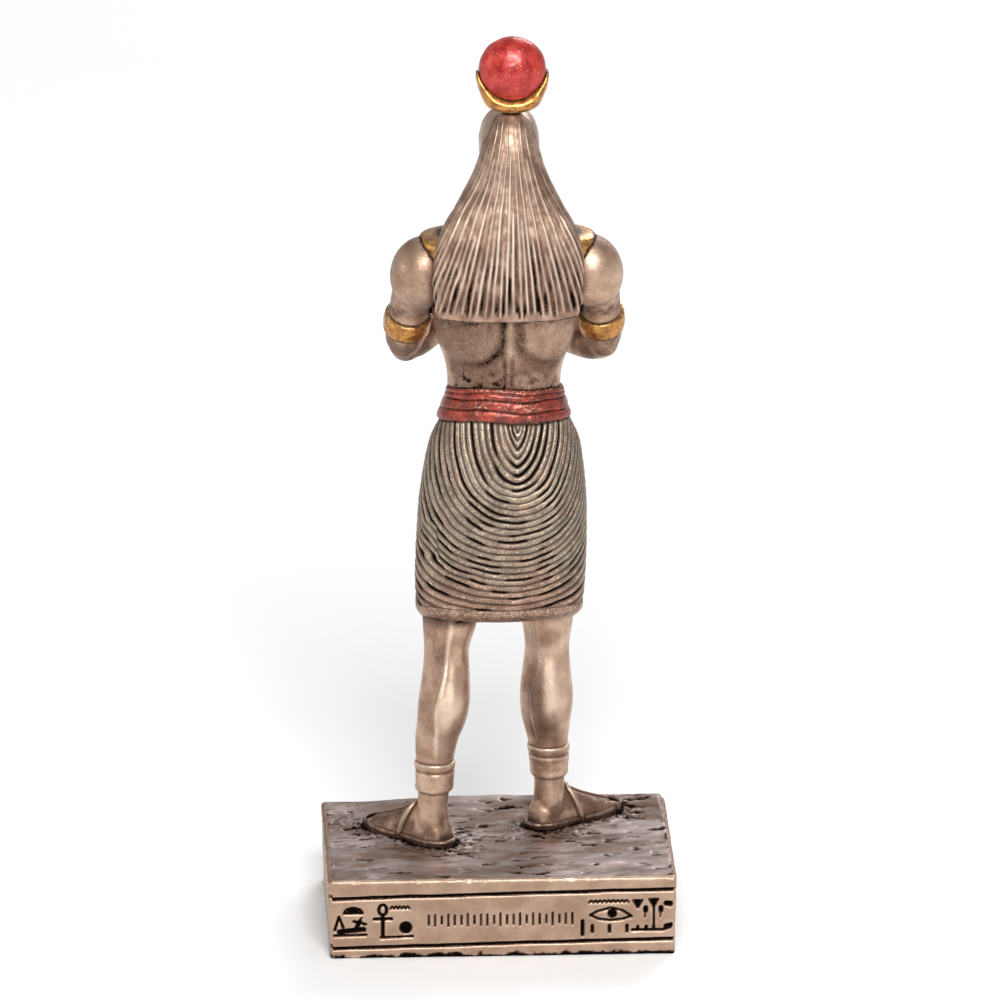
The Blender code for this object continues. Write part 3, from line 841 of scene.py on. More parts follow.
def make_materials():
    # The lighter tan and belt colours show both wear and painted highlights.
    tan, tan_shade, tan_worn_and_sheen = colour(206, 174, 152), colour(168, 134, 110), colour(250, 230, 208)
    wig, wig_shade = colour(186, 156, 136), colour(132, 102, 84)
    belt, belt_shade, belt_worn_and_sheen = colour(166, 64, 46), colour(104, 44, 34), colour(224, 178, 152)
    disc, disc_pale, disc_worn = colour(142, 3, 2), colour(184, 52, 44), colour(240, 176, 132)
    gold, gold_shade, gold_worn = colour(206, 150, 78), colour(146, 94, 42), colour(240, 204, 140)
    dark, dark_shade = colour(142, 118, 104), colour(88, 68, 58)
    base, base_shade = colour(184, 155, 134), colour(160, 131, 110)
    return {
        "skin": cast_bronze("cast bronze", tan, tan_shade, tan_worn_and_sheen, 0.37),
        "wig": cast_bronze("wig bronze", wig, wig_shade, colour(252, 234, 214), patch=1.6),
        "kilt": kilt_material(),
        "gold": painted("gold paint", gold, gold_shade, gold_worn, 0.85, 0.32),
        "belt": painted("red paint on the belt", belt, belt_shade, belt_worn_and_sheen, 0.5, 0.4),
        "disc": painted("red paint on the disc", disc, disc_pale, disc_worn, 0.15, 0.33, 0.62, 0.15, 1.3),
        "dark": cast_bronze("dark bronze", dark, dark_shade, colour(222, 194, 168), patch=1.2),
        "ground": ground_material(),
        "frieze": cast_bronze("base bronze", base, base_shade, tan_worn_and_sheen, 0.46, patch=3.0),
    }


def kilt_material():
    """Pleats with a green-grey bloom over bronze, black filling the grooves in broken runs, and painted
    shade in the recesses.
    """
    paint = Paint("pleated kilt", 0.7, 0.42)
    patches = paint.ramp(paint.grain(1.8, 4.0), 0.38, 0.66)
    specks = paint.grain(0.2, 4.0, 0.7)
    bloom = paint.times(paint.number("bloom"), paint.ramp(specks, 0.2, 0.8, 0.6, 1.2), clamp=True)
    bronze = paint.mix(patches, colour(118, 86, 70), colour(156, 122, 102))
    tone = paint.mix(bloom, bronze, paint.mix(patches, colour(116, 110, 96), colour(146, 137, 121)))
    wear = paint.times(paint.ramp(specks, 0.5, 0.68, 0.06, 0.9), paint.number("wear"))
    tone = paint.mix(wear, tone, colour(244, 222, 198))
    amount = paint.number("wash")
    paint.washed(tone, amount, 0.7, (0.05, 0.5, 0.0, 0.85), (0.5, 0.82), colour(60, 40, 31))
    paint.dull_where(paint.ramp(specks, 0.25, 0.75, 0.34, 0.5), amount)
    paint.bump(specks, 0.35, 0.04)
    return paint.material


def ground_material():
    """Rough ground: plum-grey wash over bronze, with light grit, black pits and painted shadow along the
    sandals.
    """
    paint = Paint("rough ground", 0.55, 0.42)
    patches = paint.ramp(paint.grain(3.2, 4.0, 0.6, (0.4, 1.0, 1.0)), 0.36, 0.66)
    specks = paint.grain(0.25, 4.0, 0.75)
    tone = paint.mix(patches, colour(104, 80, 68), colour(154, 138, 134))
    tone = paint.mix(paint.number("wear"), tone, colour(232, 208, 184))
    amount = paint.speckled_wash(specks, 0.3, 0.7, 0.7, 1.3)
    paint.washed(tone, amount, 0.55, (0.08, 0.5, 0.0, 0.85), (0.45, 0.85), colour(70, 47, 36))
    paint.set("Roughness", paint.ramp(paint.grain(1.4, 3.0), 0.3, 0.7, 0.33, 0.54))
    paint.bump(specks, 0.2, 0.02)
    return paint.material


# Forms of the figure


def level_section(table, height, angle, rise=0.0, square=2.3, across=0.0, tilt=0.0):
    """
    Points of a table's level sections, at grids of heights and angles. Angle 0 is the middle of the back,
    and a quarter turn is the left side.
    """
    half_width, front, back = np.moveaxis(read(table, height), -1, 0)
    middle, half_depth = (front + back) / 2, (back - front) / 2
    x = (half_width + rise) * squared(np.sin(angle), 2 / square)
    y = middle + (half_depth + rise) * squared(np.cos(angle), 2 / square)
    return np.stack([x + lean(height) + across, y, height + tilt * y], axis=-1)


def level_shape(table, low, high, size, square=2.3):
    """Rings of points up a table of level sections, and the angle and height of each."""
    rows, columns = size
    around = np.linspace(-math.pi, math.pi, columns, endpoint=False)
    height, angle = grid(np.linspace(low, high, rows), around)
    return level_section(table, height, angle, square=square), angle, height


def path_points(path, count):
    """A path's rows, read on a smooth curve at even steps along it."""
    rows = np.array(path, float)
    steps = np.linalg.norm(np.diff(rows[:, :3], axis=0), axis=1)
    along = np.concatenate([[0.0], np.cumsum(steps)])
    table = np.column_stack([along, rows])
    return read(table, np.linspace(0, along[-1], count))


def tube(path, sides=28, count=40, mirror=1.0, leaning=True, rounded=True):
    """A closed round tube along a path whose rows are x, y, height and radius."""
    rows = path_points(path, count)
    rows[:, 0] *= mirror
    if leaning:
        rows[:, 0] += lean(rows[:, 2])
    rings = []
    across = np.array([0.0, 0.0, 1.0])
    centres, radii = rows[:, :3], rows[:, 3]
    turns = round_angles(sides)
    directions = np.gradient(centres, axis=0)
    directions /= np.linalg.norm(directions, axis=1, keepdims=True)
    for centre, radius, along in zip(centres, radii, directions):
        across = across - along * across.dot(along)
        across /= np.linalg.norm(across)
        other = np.cross(along, across)
        ring = np.cos(turns)[:, None] * across + np.sin(turns)[:, None] * other
        rings.append(centre + radius * ring)
    if rounded:
        caps = [(0.97, 0.3), (0.8, 0.62), (0.45, 0.88), (0.1, 1.0)]
        start, end = (
            [centres[i] + (rings[i] - centres[i]) * s + way * directions[i] * radii[i] * d for s, d in caps]
            for i, way in ((0, -1), (-1, 1))
        )
        rings = start[::-1] + rings + end
    return tube_shape(rings)


def ball(middle, half, turn=None, power=2.0, sides=32, layers=18):
    """A closed ball or box-like ball, with its own half sizes and a turn about its middle."""
    up = np.linspace(-math.pi / 2 + 0.02, math.pi / 2 - 0.02, layers)
    latitude, longitude = grid(up, round_angles(sides))
    reach = 2 / power
    flat = np.cos(latitude) ** reach
    x, y = flat * squared(np.cos(longitude), reach), flat * squared(np.sin(longitude), reach)
    shape = np.stack([x, y, squared(np.sin(latitude), reach)], axis=-1) * np.array(half)
    if turn is not None:
        shape = shape @ np.array(turn).T
    return tube_shape(shape + np.array(middle))


def turned(axis, degrees):
    return np.array(Matrix.Rotation(math.radians(degrees), 3, axis))


def stroke_distance(points, line):
    """How far flat points are from a line through several places."""
    best = np.full(len(points), np.inf)
    line = np.array(line, float)
    for a, b in zip(line, line[1:]):
        along = b - a
        share = np.clip((points - a) @ along / (along @ along), 0, 1)
        best = np.minimum(best, np.linalg.norm(points - (a + share[:, None] * along), axis=1))
    return best


def make_upper_body(paint):
    """Torso, neck, shoulders, arms and hands, in one skin."""
    torso, _, _ = level_shape(TORSO, TORSO[0][0], TORSO[-1][0], GRIDS["torso"])
    shapes = [tube_shape(torso)]
    for side, forearm in ((1, LEFT_FOREARM), (-1, RIGHT_FOREARM)):
        x, y, height = DELTOID_MIDDLE
        middle = (side * x + lean(height), y, height)
        shapes.append(ball(middle, DELTOID_HALF, turned("Y", side * -13.0), 2.0))
        shapes.append(tube(UPPER_ARM, mirror=side))
        shapes.append(tube(forearm, mirror=side))
        shapes += hand_shapes(side, forearm)
    skin = fused(shapes, *VOXELS["torso"])
    sculpt_back(skin)
    skin.relax(1)
    wash, wear = worn_and_washed("torso_and_arms", skin)
    wash = np.maximum(wash, back_wash(skin.points))
    finish_piece("torso_and_arms", skin, paint, wash=wash, wear=wear)


def moved(path, middle):
    """A path's rows of x, y, height and radius, moved by a place."""
    return [(*(np.array(row[:3]) + middle), row[3]) for row in path]


def hand_shapes(side, forearm):
    """A fist: a palm, four curled fingers and a thumb."""
    x, y, height, _ = forearm[-2]
    middle = np.array([side * x + lean(height), y, height])
    shapes = [ball(middle, (1.35, 1.0, 1.25), turned("Z", side * 30.0), 2.4)]
    for finger in range(4):
        rise = 0.95 - 0.62 * finger
        reach = 1.55 - 0.12 * abs(finger - 1)
        path = [
            (side * 0.3, -0.9, rise, 0.34),
            (-side * 0.7, -1.25, rise, 0.36),
            (-side * reach, -0.75, rise - 0.05, 0.35),
            (-side * (reach - 0.1), 0.0, rise - 0.08, 0.3),
        ]
        shapes.append(tube(moved(path, middle), 12, 14, leaning=False))
    thumb = [(side * 0.6, -0.2, 1.1, 0.42), (0.0, -0.9, 1.5, 0.4), (-side * 0.7, -1.1, 1.45, 0.33)]
    shapes.append(tube(moved(thumb, middle), 12, 12, leaning=False))
    return shapes


SPINE = -0.35


def sculpt_back(skin):
    """The back: two broad soft muscles, the spine's channel between them and the small of the back."""
    points = skin.points
    x, height, behind = back_place(points)
    inside = smooth_step(7.6, 6.4, np.abs(x))
    muscle = ((np.abs(x) - 4.0) / 3.2) ** 2 + np.abs((height - 52.4) / 3.7) ** 2.4
    lobes = 0.42 * smooth_step(1.25, 0.55, muscle)
    upper = smooth_step(48.6, 50.2, height)
    wavy = x + 0.12 * rough(points, 1.8, 2, 12.0)
    channel = (0.14 * bell(wavy - 0.75, 0.36) + 0.14 * bell(wavy + 0.85, 0.5)) * upper
    channel = channel * smooth_step(57.0, 54.0, height)
    bone = 0.12 * bell(wavy, 0.35) * upper
    lower = smooth_step(44.6, 45.6, height) * (1 - upper)
    pair = 0.11 * bell(np.abs(wavy - 0.1) - 0.36, 0.19) * lower
    loins = 0.22 * bell(np.abs(x) - 1.9, 1.1) * bell(height - 46.4, 1.3)
    lumps = 0.08 * rough(points, 0.8, 3, 4.0) * smooth_step(49.2, 47.2, height) * behind
    skin.push((lobes + bone + loins + lumps - channel - pair) * behind * inside)


def back_place(points):
    """Where points lie on the back: across from the spine, the height, and 1 on the back itself."""
    x = points[:, 0] - lean(points[:, 2]) - SPINE
    return x, points[:, 2], smooth_step(0.8, 2.8, points[:, 1])


def back_wash(points):
    """Wash and painted shade on the back: dark in the spine's channel and under the muscles' edges, thin
    over the back and more on the left, blotchy at the loins; painted shade under the wig's edge, above the
    armlets, round the elbows and on the shoulders.
    """
    x, height, behind = back_place(points)
    x = x + 0.1 * rough(points, 1.6, 3, 12.0)
    broken = 0.7 + 0.5 * rough(points, 0.7, 3, 11.0)
    upper = smooth_step(48.8, 50.0, height) * smooth_step(56.0, 53.0, height)
    # The dark lines in the channel and under the muscles are wash and painted shade.
    channel = (0.38 * bell(x - 0.74, 0.3) + 0.34 * bell(x + 0.85 + 0.1 * (52.5 - height), 0.5)) * upper
    curve = 0.42 * bell(np.hypot((x - 3.5) / 3.0, (height - 51.6) / 3.1) - 0.95, 0.13)
    curve = curve * smooth_step(4.6, 1.6, x) * smooth_step(0.4, 1.0, x) * smooth_step(52.0, 50.0, height)
    other = 0.24 * bell(np.hypot((x + 3.7) / 3.0, (height - 51.8) / 3.3) - 1.0, 0.24)
    other = other * smooth_step(-0.4, -1.0, x)
    pair = smooth_step(44.4, 45.4, height) * (1 - upper) * smooth_step(50.5, 49.0, height)
    pair = pair * (0.4 * bell(x - 0.42, 0.19) + 0.25 * bell(x + 0.26, 0.16))
    blotches = 0.36 * smooth_step(-0.05, 0.5, rough(points, 0.8, 3, 2.0)) * smooth_step(49.4, 46.4, height)
    # Painted shadow under the wig's lower edge.
    under_wig = 0.3 * smooth_step(52.0, 53.4, height) * smooth_step(0.1, 0.5, broken - 0.5)
    thin = (0.24 + 0.15 * smooth_step(0.3, 1.4, x)) * smooth_step(56.5, 54.5, height)
    thin = thin + 0.06 * smooth_step(49.6, 48.4, height)
    lines = np.max([channel, curve, other, pair], axis=0) * np.clip(broken + 0.25, 0.5, 1.15)
    back = np.max([lines, blotches, under_wig], axis=0) + thin
    across = np.abs(points[:, 0] - lean(points[:, 2]))
    back = back * behind * smooth_step(7.6, 6.8, across)
    # Painted shade round the elbows and forearms, blotchy.
    elbows = 0.4 * smooth_step(6.0, 6.8, across) * smooth_step(51.4, 49.5, height)
    elbows = elbows * (0.5 + 0.5 * smooth_step(-0.3, 0.3, rough(points, 1.4, 2, 6.0)))
    # Painted shade under the deltoids, above the armlets.
    above_band = 0.55 * smooth_step(6.4, 7.2, across) * bell(height - 53.0, 0.9)
    above_band = above_band * np.clip(broken, 0, 1)
    # Painted shade over the shoulders, heavier on the left.
    left_side = smooth_step(-6.0, 6.0, points[:, 0] - lean(points[:, 2]))
    shoulder = smooth_step(5.0, 6.5, across) * smooth_step(52.5, 54.0, height)
    shoulder = shoulder * (0.09 + 0.15 * left_side)
    return np.clip(np.max([back, elbows, above_band, shoulder], axis=0), 0, 1)


def leg_rings(table, height, turn, proud=0.0, calf=0.0):
    """Points round a leg at grids of heights and angles, proud of it, or only of its calf."""
    x, y, half_width, half_depth = np.moveaxis(read(table, height), -1, 0)
    across = (half_width + proud) * np.cos(turn)
    behind = (half_depth + calf + proud) * np.sin(turn)
    return np.stack([x + across, y + behind, height], axis=-1)


def make_leg(name, table, paint):
    """A leg with its foot, in one skin."""
    rows, columns = GRIDS["leg"]
    height, turn = grid(np.linspace(table[0][0], table[-1][0], rows), round_angles(columns))
    calf = 0.35 * bell(height - 14.0, 3.4) * np.clip(np.sin(turn), 0, 1) ** 2
    shapes = [tube_shape(leg_rings(table, height, turn, calf=calf))] + foot_shapes(name)
    skin = fused(shapes, *VOXELS["leg"])
    sculpt_leg(skin, name, table)
    skin.relax(1)
    wash, wear = worn_and_washed("leg", skin)
    x, y, crease = leg_place(skin.points, name, table)
    edge = smooth_step(-0.1, 0.4, y) * smooth_step(8.6, 9.6, skin.points[:, 2])
    wash = wash * (1 - 0.9 * bell(crease - 0.08, 0.22) * edge)
    # Painted highlights on the back of the leg: a bright lip along the left leg's crease and a broad
    # highlight on each calf.
    lip = 0.3 * bell(crease + 0.07, 0.07) * (0.6 + rough(skin.points, 1.2, 2, 3.0)) * (name == "left")
    bright = 0.55 * bell(x + 0.12, 0.33) * bell(skin.points[:, 2] - 15.6, 3.4)
    bright = bright * (0.8 + 0.5 * rough(skin.points * (1, 1, 0.4), 1.4, 3, 8.0))
    wear = wear + (lip + bright) * edge
    # Painted shadow under the kilt's hem.
    hem_shadow = 0.45 * smooth_step(21.2, 23.4, skin.points[:, 2])
    wash = np.maximum(wash, leg_wash(skin.points, name, table)) + hem_shadow
    finish_piece(name + "_leg", skin, paint, wash=wash, wear=wear)


def foot_frame(name):
    x, y, degrees = FEET[name]
    turn = math.radians(degrees)
    ahead = np.array([math.sin(turn), -math.cos(turn)])
    side = np.array([ahead[1], -ahead[0]])
    return np.array([x, y]), ahead, side


def foot_shapes(name):
    """The heel, the arch and the five toes. Inner is the side of the big toe."""
    heel, ahead, side = foot_frame(name)
    inner = 1 if side @ (-heel) > 0 else -1
    floor = SOLE * 0.6
    rings = []
    turns = round_angles(40)
    sine = np.sin(turns)
    steps = np.linspace(FOOT[0][0], FOOT[-1][0], 30)
    for along, (half_width, height) in zip(steps, read(FOOT, steps)):
        flat = heel + ahead * along + np.outer(half_width * np.cos(turns), side)
        up = floor + np.where(sine > 0, height * np.abs(sine) ** 0.9, 0.15 * sine)
        rings.append(np.column_stack([flat, up]))
    shapes = [tube_shape(rings)]
    back = (*(heel + ahead * 1.75), floor + 1.15)
    shapes.append(ball(back, (1.55, 1.55, 1.35), sides=36, layers=20))
    for toe in range(5):
        across = inner * (1.15 - 0.58 * toe)
        length = 10.0 - 0.18 * toe - 0.1 * toe**2
        size = 0.5 if toe == 0 else 0.36 - 0.02 * toe
        place = heel + ahead * (length - 1.6)
        tip = heel + ahead * (length - size)
        path = [
            (*(place + side * across), floor + 0.55, size * 0.95),
            (*((place + tip) / 2 + side * across), floor + 0.5, size),
            (*(tip + side * across), floor + 0.34, size * 0.9),
        ]
        shapes.append(tube(path, 14, 10, leaning=False))
    return shapes


LEG_CREASES = {
    "left": [
        (7.4, -0.09), (11.0, 0.19), (13.7, 0.38), (15.5, 0.31), (17.8, 0.13), (19.6, 0.07), (24.0, 0.05)
    ],
    "right": [
        (7.4, 0.42), (11.0, 0.55), (13.7, 0.6), (15.5, 0.56), (17.8, 0.5), (19.6, 0.55), (24.0, 0.6)
    ],
}


def leg_place(points, name, table):
    """Where points lie on a leg: from its middle, as shares of its half sizes, and from the long crease."""
    values = read(table, points[:, 2])
    x = (points[:, 0] - values[:, 0]) / values[:, 2]
    y = (points[:, 1] - values[:, 1]) / values[:, 3]
    crease = x - read(LEG_CREASES[name], points[:, 2])[:, 0]
    return x, y, crease


def sculpt_leg(skin, name, table):
    """The calf, proud of a long crease, the hollow behind the knee, the shin and the kneecap."""
    points = skin.points
    x, y, crease = leg_place(points, name, table)
    height = points[:, 2]
    behind = smooth_step(-0.1, 0.5, y)
    above = smooth_step(8.6, 9.8, height)
    step = 0.3 if name == "left" else 0.2
    facet = step * smooth_step(-0.03, 0.14, crease) * smooth_step(0.95, 0.3, crease)
    lip = 0.11 * bell(crease + 0.08, 0.1)
    knee = 0.2 * bell(x, 0.45) * bell(height - 19.0, 1.4)
    cords = 0.16 * bell(np.abs(x + 0.05) - 0.5, 0.18) * smooth_step(17.6, 19.4, height)
    split = 0.14 * bell(x + 0.1, 0.2) * bell(height - 14.8, 2.4)
    belly = 0.24 * bell(x + 0.1, 0.5) * bell(height - 13.6, 2.6)
    front = smooth_step(-0.2, -0.8, y)
    shin = 0.14 * bell(x, 0.3) * front * bell(height - 12.0, 5.0)
    kneecap = 0.35 * bell(x, 0.45) * front * bell(height - 18.8, 1.2)
    skin.push((lip + cords + belly - facet - knee - split) * behind * above + shin + kneecap)


def leg_wash(points, name, table):
    """Painted shade down one side of a leg, broad and brown on the right calf, and behind the knee, with a
    darker patch and darker blotches low on the leg and over the toes.
    """
    x, y, crease = leg_place(points, name, table)
    height = points[:, 2]
    behind = smooth_step(-0.1, 0.4, y) * smooth_step(8.0, 9.5, height)
    cloud = 0.85 + 0.4 * rough(points, 2.6, 2, 5.0)
    # shade is painted shade down one side of the calf.
    if name == "left":
        shade = 0.24 * smooth_step(-0.02, 0.12, crease)
        patch = 0.1 * bell(x + 0.75, 0.3) * bell(height - 12.0, 4.0)
    else:
        shade = 0.4 * smooth_step(-0.85, -0.25, crease) * bell(height - 14.2, 6.0)
        shade = shade * (1 - 0.3 * smooth_step(0, 0.2, crease))
        patch = 0.3 * bell(x + 0.05, 0.5) * bell(height - 10.9, 1.0)
    # Painted shade in the hollow behind the knee.
    knee = 0.16 * bell(x, 0.6) * bell(height - 18.8, 1.0)
    foot = 0.35 * smooth_step(5.4, 2.0, height) * smooth_step(-0.2, 0.3, rough(points, 1.6, 2, 3.0))
    heel, ahead, _ = foot_frame(name)
    toes = smooth_step(4.4, 5.4, (points[:, :2] - heel) @ ahead) * smooth_step(4.6, 3.8, height)
    foot = np.maximum(foot, 0.55 * toes * (0.85 + 0.4 * rough(points, 1.0, 3, 6.0)))
    return np.clip((shade + patch + knee) * cloud * behind + foot, 0, 1)


def make_ankle_band(name, table, paint):
    low, high = ANKLE_BAND
    if name == "right":
        low, high = low - 0.2, high + 0.1
    rows, columns = GRIDS["ankle_band"]
    height, turn = grid(np.linspace(low, high, rows), round_angles(columns))
    share = (height - low) / (high - low)
    profile = 0.29 - 0.13 * share - 0.16 * end_round(share, 0.07)
    profile = profile + 0.04 * bell(share - 0.87, 0.09) + 0.04 * bell(share - 0.1, 0.07)
    profile = profile - 0.08 * bell(share - 0.7, 0.045) + 0.02 * bell(share - 0.6, 0.06)
    skin = grid_skin(leg_rings(table, height, turn, proud=profile))
    skin.roughen(0.03, 0.8, 4.0)
    finish_worn(name + "_ankle_band", skin, paint)


def make_sole(name, paint):
    """A thin sole that curls up round the foot as a rim."""
    heel, ahead, side = foot_frame(name)
    turns = round_angles(SOLE_POINTS)
    half_length = SOLE_LENGTH / 2 + SOLE_OVERHANG
    along = SOLE_LENGTH / 2 - SOLE_SETBACK + half_length * np.cos(turns)
    rows = read(FOOT, np.clip(along, FOOT[0][0], FOOT[-1][0]))
    ends = np.sqrt(np.clip(1 - ((along - SOLE_LENGTH / 2 + SOLE_SETBACK) / half_length) ** 2, 0, 1))
    half = (rows[:, 0] + SOLE_MARGIN) * np.clip(ends * 1.7, 0, 1) ** 0.75
    outline = heel + np.outer(along, ahead) + np.outer(half * np.sign(np.sin(turns)), side)
    for _ in range(6):
        outline = (np.roll(outline, 1, axis=0) + outline * 2 + np.roll(outline, -1, axis=0)) / 4
    middle = heel + ahead * SOLE_LENGTH / 2
    lift = 0.25 * smooth_step(6.0, 10.3, along)
    profile = [(0.6, -0.2), (0.14, -0.2), (0.14, 0.1), (0.12, 0.22)]
    for turn in np.radians(np.arange(-50, 170, 20)):
        profile.append((BEAD - 0.01 - BEAD * math.cos(turn), SOLE + BEAD * math.sin(turn)))
    profile += [(0.5, SOLE - 0.12), (0.8, SOLE - 0.08)]
    direction = middle - outline
    direction /= np.linalg.norm(direction, axis=1, keepdims=True)
    rings = []
    for inset, height in profile:
        ring = outline + direction * inset
        rings.append(np.column_stack([ring, height + lift * (height > 0.05)]))
    fine = []
    for lower, upper in zip(rings, rings[1:]):
        fine += [lower + (upper - lower) * t for t in (0.0, 0.5)]
    fine.append(rings[-1])
    skin = grid_skin(np.array(fine))
    skin.roughen(0.03, 0.6, 2.0)
    # Painted shadow low on the sole, under its bead, where it meets the ground.
    shadow_under_bead = 0.5 * smooth_step(0.5, 0.0, skin.points[:, 2])
    finish_worn(name + "_sandal_sole", skin, paint, wash=(1, shadow_under_bead))


def make_strap(name, paint):
    """The sandal's cord over the instep, its cord to the toes, and the knot where they meet."""
    heel, ahead, side = foot_frame(name)

    def on_foot(along, above):
        """A place just above the top of the foot."""
        return (*(heel + ahead * along), SOLE * 0.6 + float(read(FOOT, along)[1]) + above)

    strap = []
    for turn in np.linspace(-0.1, math.pi + 0.1, 24):
        rise = max(0.0, math.sin(turn))
        place = heel + ahead * (STRAP_ALONG - rise) + side * (1.68 * math.cos(turn))
        strap.append((*place, SOLE * 0.8 + 3.25 * rise**0.9, 0.27))
    toe_cord = [(*on_foot(along, 0.02), 0.2) for along in np.linspace(*TOE_CORD, 14)]
    knot = ball(on_foot(KNOT_ALONG, 0.1), (0.42, 0.42, 0.34))
    shapes = [tube(strap, 14, 60, leaning=False), tube(toe_cord, 12, 30, leaning=False), knot]
    skin = fused(shapes, *VOXELS["strap"])
    finish_worn(name + "_sandal_strap", skin, paint, wash=(0.6, 0), wear=(1, 0.35))


def pleat_half_width(depth):
    """Half the width, along the belt, of the pleat that hangs this far below it."""
    return read(PLEATS, depth)[..., 0]


def pleat_depth(across, down, left):
    """
    The depth of the pleat through a point of the unrolled kilt. A pleat is pointed at first, and round
    lower, and the lower ones reach further out on the left.
    """
    low, high = np.full(across.shape, 0.05), np.full(across.shape, 23.9)
    for _ in range(30):
        guess = (low + high) / 2
        power = 1.3 + 0.7 * smooth_step(2.0, 6.5, guess)
        reach = pleat_half_width(guess) * (1 + 0.2 * left * smooth_step(9.0, 14.0, guess))
        side = np.clip(across / reach, 0, 20) ** power
        outside = side + (down / guess) ** 2 > 1
        low = np.where(outside, guess, low)
        high = np.where(outside, high, guess)
    return (low + high) / 2


def round_distance(points):
    """How far round its row each point of a grid of level rows lies from the middle of the back."""
    steps = np.linalg.norm(np.diff(points, axis=1, append=points[:, :1]), axis=2)
    along = np.cumsum(steps, axis=1) - steps
    total = steps.sum(axis=1, keepdims=True)
    middle = along[:, points.shape[1] // 2][:, None]
    return along - middle, total


def uneven_angles(count, half_back, share):
    """Angles round a section from -180 to 180 degrees, closer together on the back than on the front."""
    back = int(count * share) // 2
    front = count // 2 - back
    half = np.concatenate([
        np.linspace(0, half_back, back, endpoint=False),
        np.linspace(half_back, math.pi, front, endpoint=False),
    ])
    return np.concatenate([-math.pi + 0 * half[:1], -half[:0:-1], half])


def folded_round(signed, total):
    """
    Distances from the middle of the back, for the pleats. What lies ahead of the sides is folded back over
    them, so that the front has pleats like the back's, and the fold's peak is round.
    """
    side = np.where(signed > 0, *SIDE_SHARES) * total
    ahead = np.sign(signed) * side * (total / 2 - np.abs(signed)) / (total / 2 - side)
    folded = np.where(np.abs(signed) > side, ahead, signed)
    rounded = np.sqrt((side - np.abs(folded)) ** 2 + PEAK_ROUND)
    return np.sign(folded) * np.maximum(0, side - rounded)


def seam_line(signed, down):
    """How far points are, to the left, from the slanting seam where two groups of pleats meet."""
    return signed + 0.12 * (down - 12)


def kilt_pleats(folded, signed, down):
    """How many pleats down each point lies, the nearest groove's number, and 1 where black fills it."""
    flow = np.stack([folded, down, 0 * down], axis=-1)
    wander = 0.15 * rough(flow, 3.4, 2, 1.0) + 0.05 * rough(flow, 1.2, 2, 5.0)
    seam = smooth_step(6.4, 6.75, seam_line(signed, down)) * smooth_step(9.3, 10.0, down)
    seam = seam * smooth_step(13.4, 12.6, down) * smooth_step(9.6, 7.6, signed)
    across = np.abs(folded - PLEAT_MIDDLE)
    bent = (np.clip(across + 0.4 * wander, 0, None), np.clip(down + wander, 0.01, None))
    depth = pleat_depth(*bent, folded > PLEAT_MIDDLE)
    phase = (depth - 0.3) / PLEAT_PITCH + 0.5 * seam
    index = np.round(phase)
    place = np.stack([folded / 3.0, index * 3.7, 0 * index], axis=-1)
    return phase, index, smooth_step(-0.05, 0.22, rough(place, 1.0, 2, 3.0))


def make_kilt(paint):
    """The kilt, with pleats that hang from the middle of the back like nested garlands."""
    low, high = KILT[0][0], KILT[-1][0]
    rows, columns = GRIDS["kilt"]
    height, angle = grid(np.linspace(low, high, rows), uneven_angles(columns, 1.75, 0.7))
    lift = HEM_LIFT * smooth_step(0.1, 0.85, np.cos(angle)) * smooth_step(low + 4.5, low, height)
    points = level_section(KILT, height, angle, across=KILT_SHIFT)
    signed, total = round_distance(points)
    points[..., 2] += lift
    down = high - points[..., 2]
    phase, index, runs = kilt_pleats(folded_round(signed, total), signed, down)
    band = smooth_step(low + HEM_BAND, low + HEM_BAND + 0.2, height)
    edge = bell(height - (low + HEM_BAND + 0.08), 0.13)
    groove = bell(phase - index, 0.14 + 0.07 * runs) * band
    crest = (0.5 - 0.5 * np.cos(math.tau * phase)) * band
    carve = -(0.11 + 0.13 * runs) * groove + 0.03 * crest
    carve = carve + 0.04 * rough(points, 0.5, 3, 3.0) * crest - 0.05 * edge
    carve = carve + 0.03 * (1 - band) * rough(points, 0.5, 3, 7.0)
    cheeks = 0.25 * bell(np.abs(signed) - 3.6, 2.6) * bell(height - 35.5, 3.6)
    cleft = 0.1 * bell(signed, 1.0) * bell(height - 34.0, 3.4)
    points[..., 2] += BELT_TILT * np.clip(1 - down / TILT_FADE, 0, 1) * points[..., 1]
    skin = grid_skin(points, carve + cheeks - cleft)
    shape_wash, _ = worn_and_washed("kilt", skin)
    ink = groove * (0.58 + 0.6 * runs)
    seams = 0.38 * bell(seam_line(signed, down) - 6.55, 0.12) * smooth_step(9.5, 10.0, down)
    ink = np.max([ink, seams * smooth_step(13.4, 12.4, down), 0.4 * edge], axis=0)
    # The middle of the kilt's underside is painted black, as shade.
    wash = np.maximum(on_skin(ink, low=1.0), 0.75 * shape_wash)
    z = skin.points[:, 2]
    bloom = 0.9 * smooth_step(24.0, 31.0, z + 2.0 * rough(skin.points, 4.0, 2, 6.0))
    bloom = bloom * (0.6 + 0.4 * smooth_step(-0.3, 0.2, rough(skin.points, 2.2, 2, 9.0)))
    wear = on_skin(crest**2 + 0.85 * (1 - band))
    finish_piece("kilt", skin, paint, wash=wash, wear=wear, bloom=bloom)


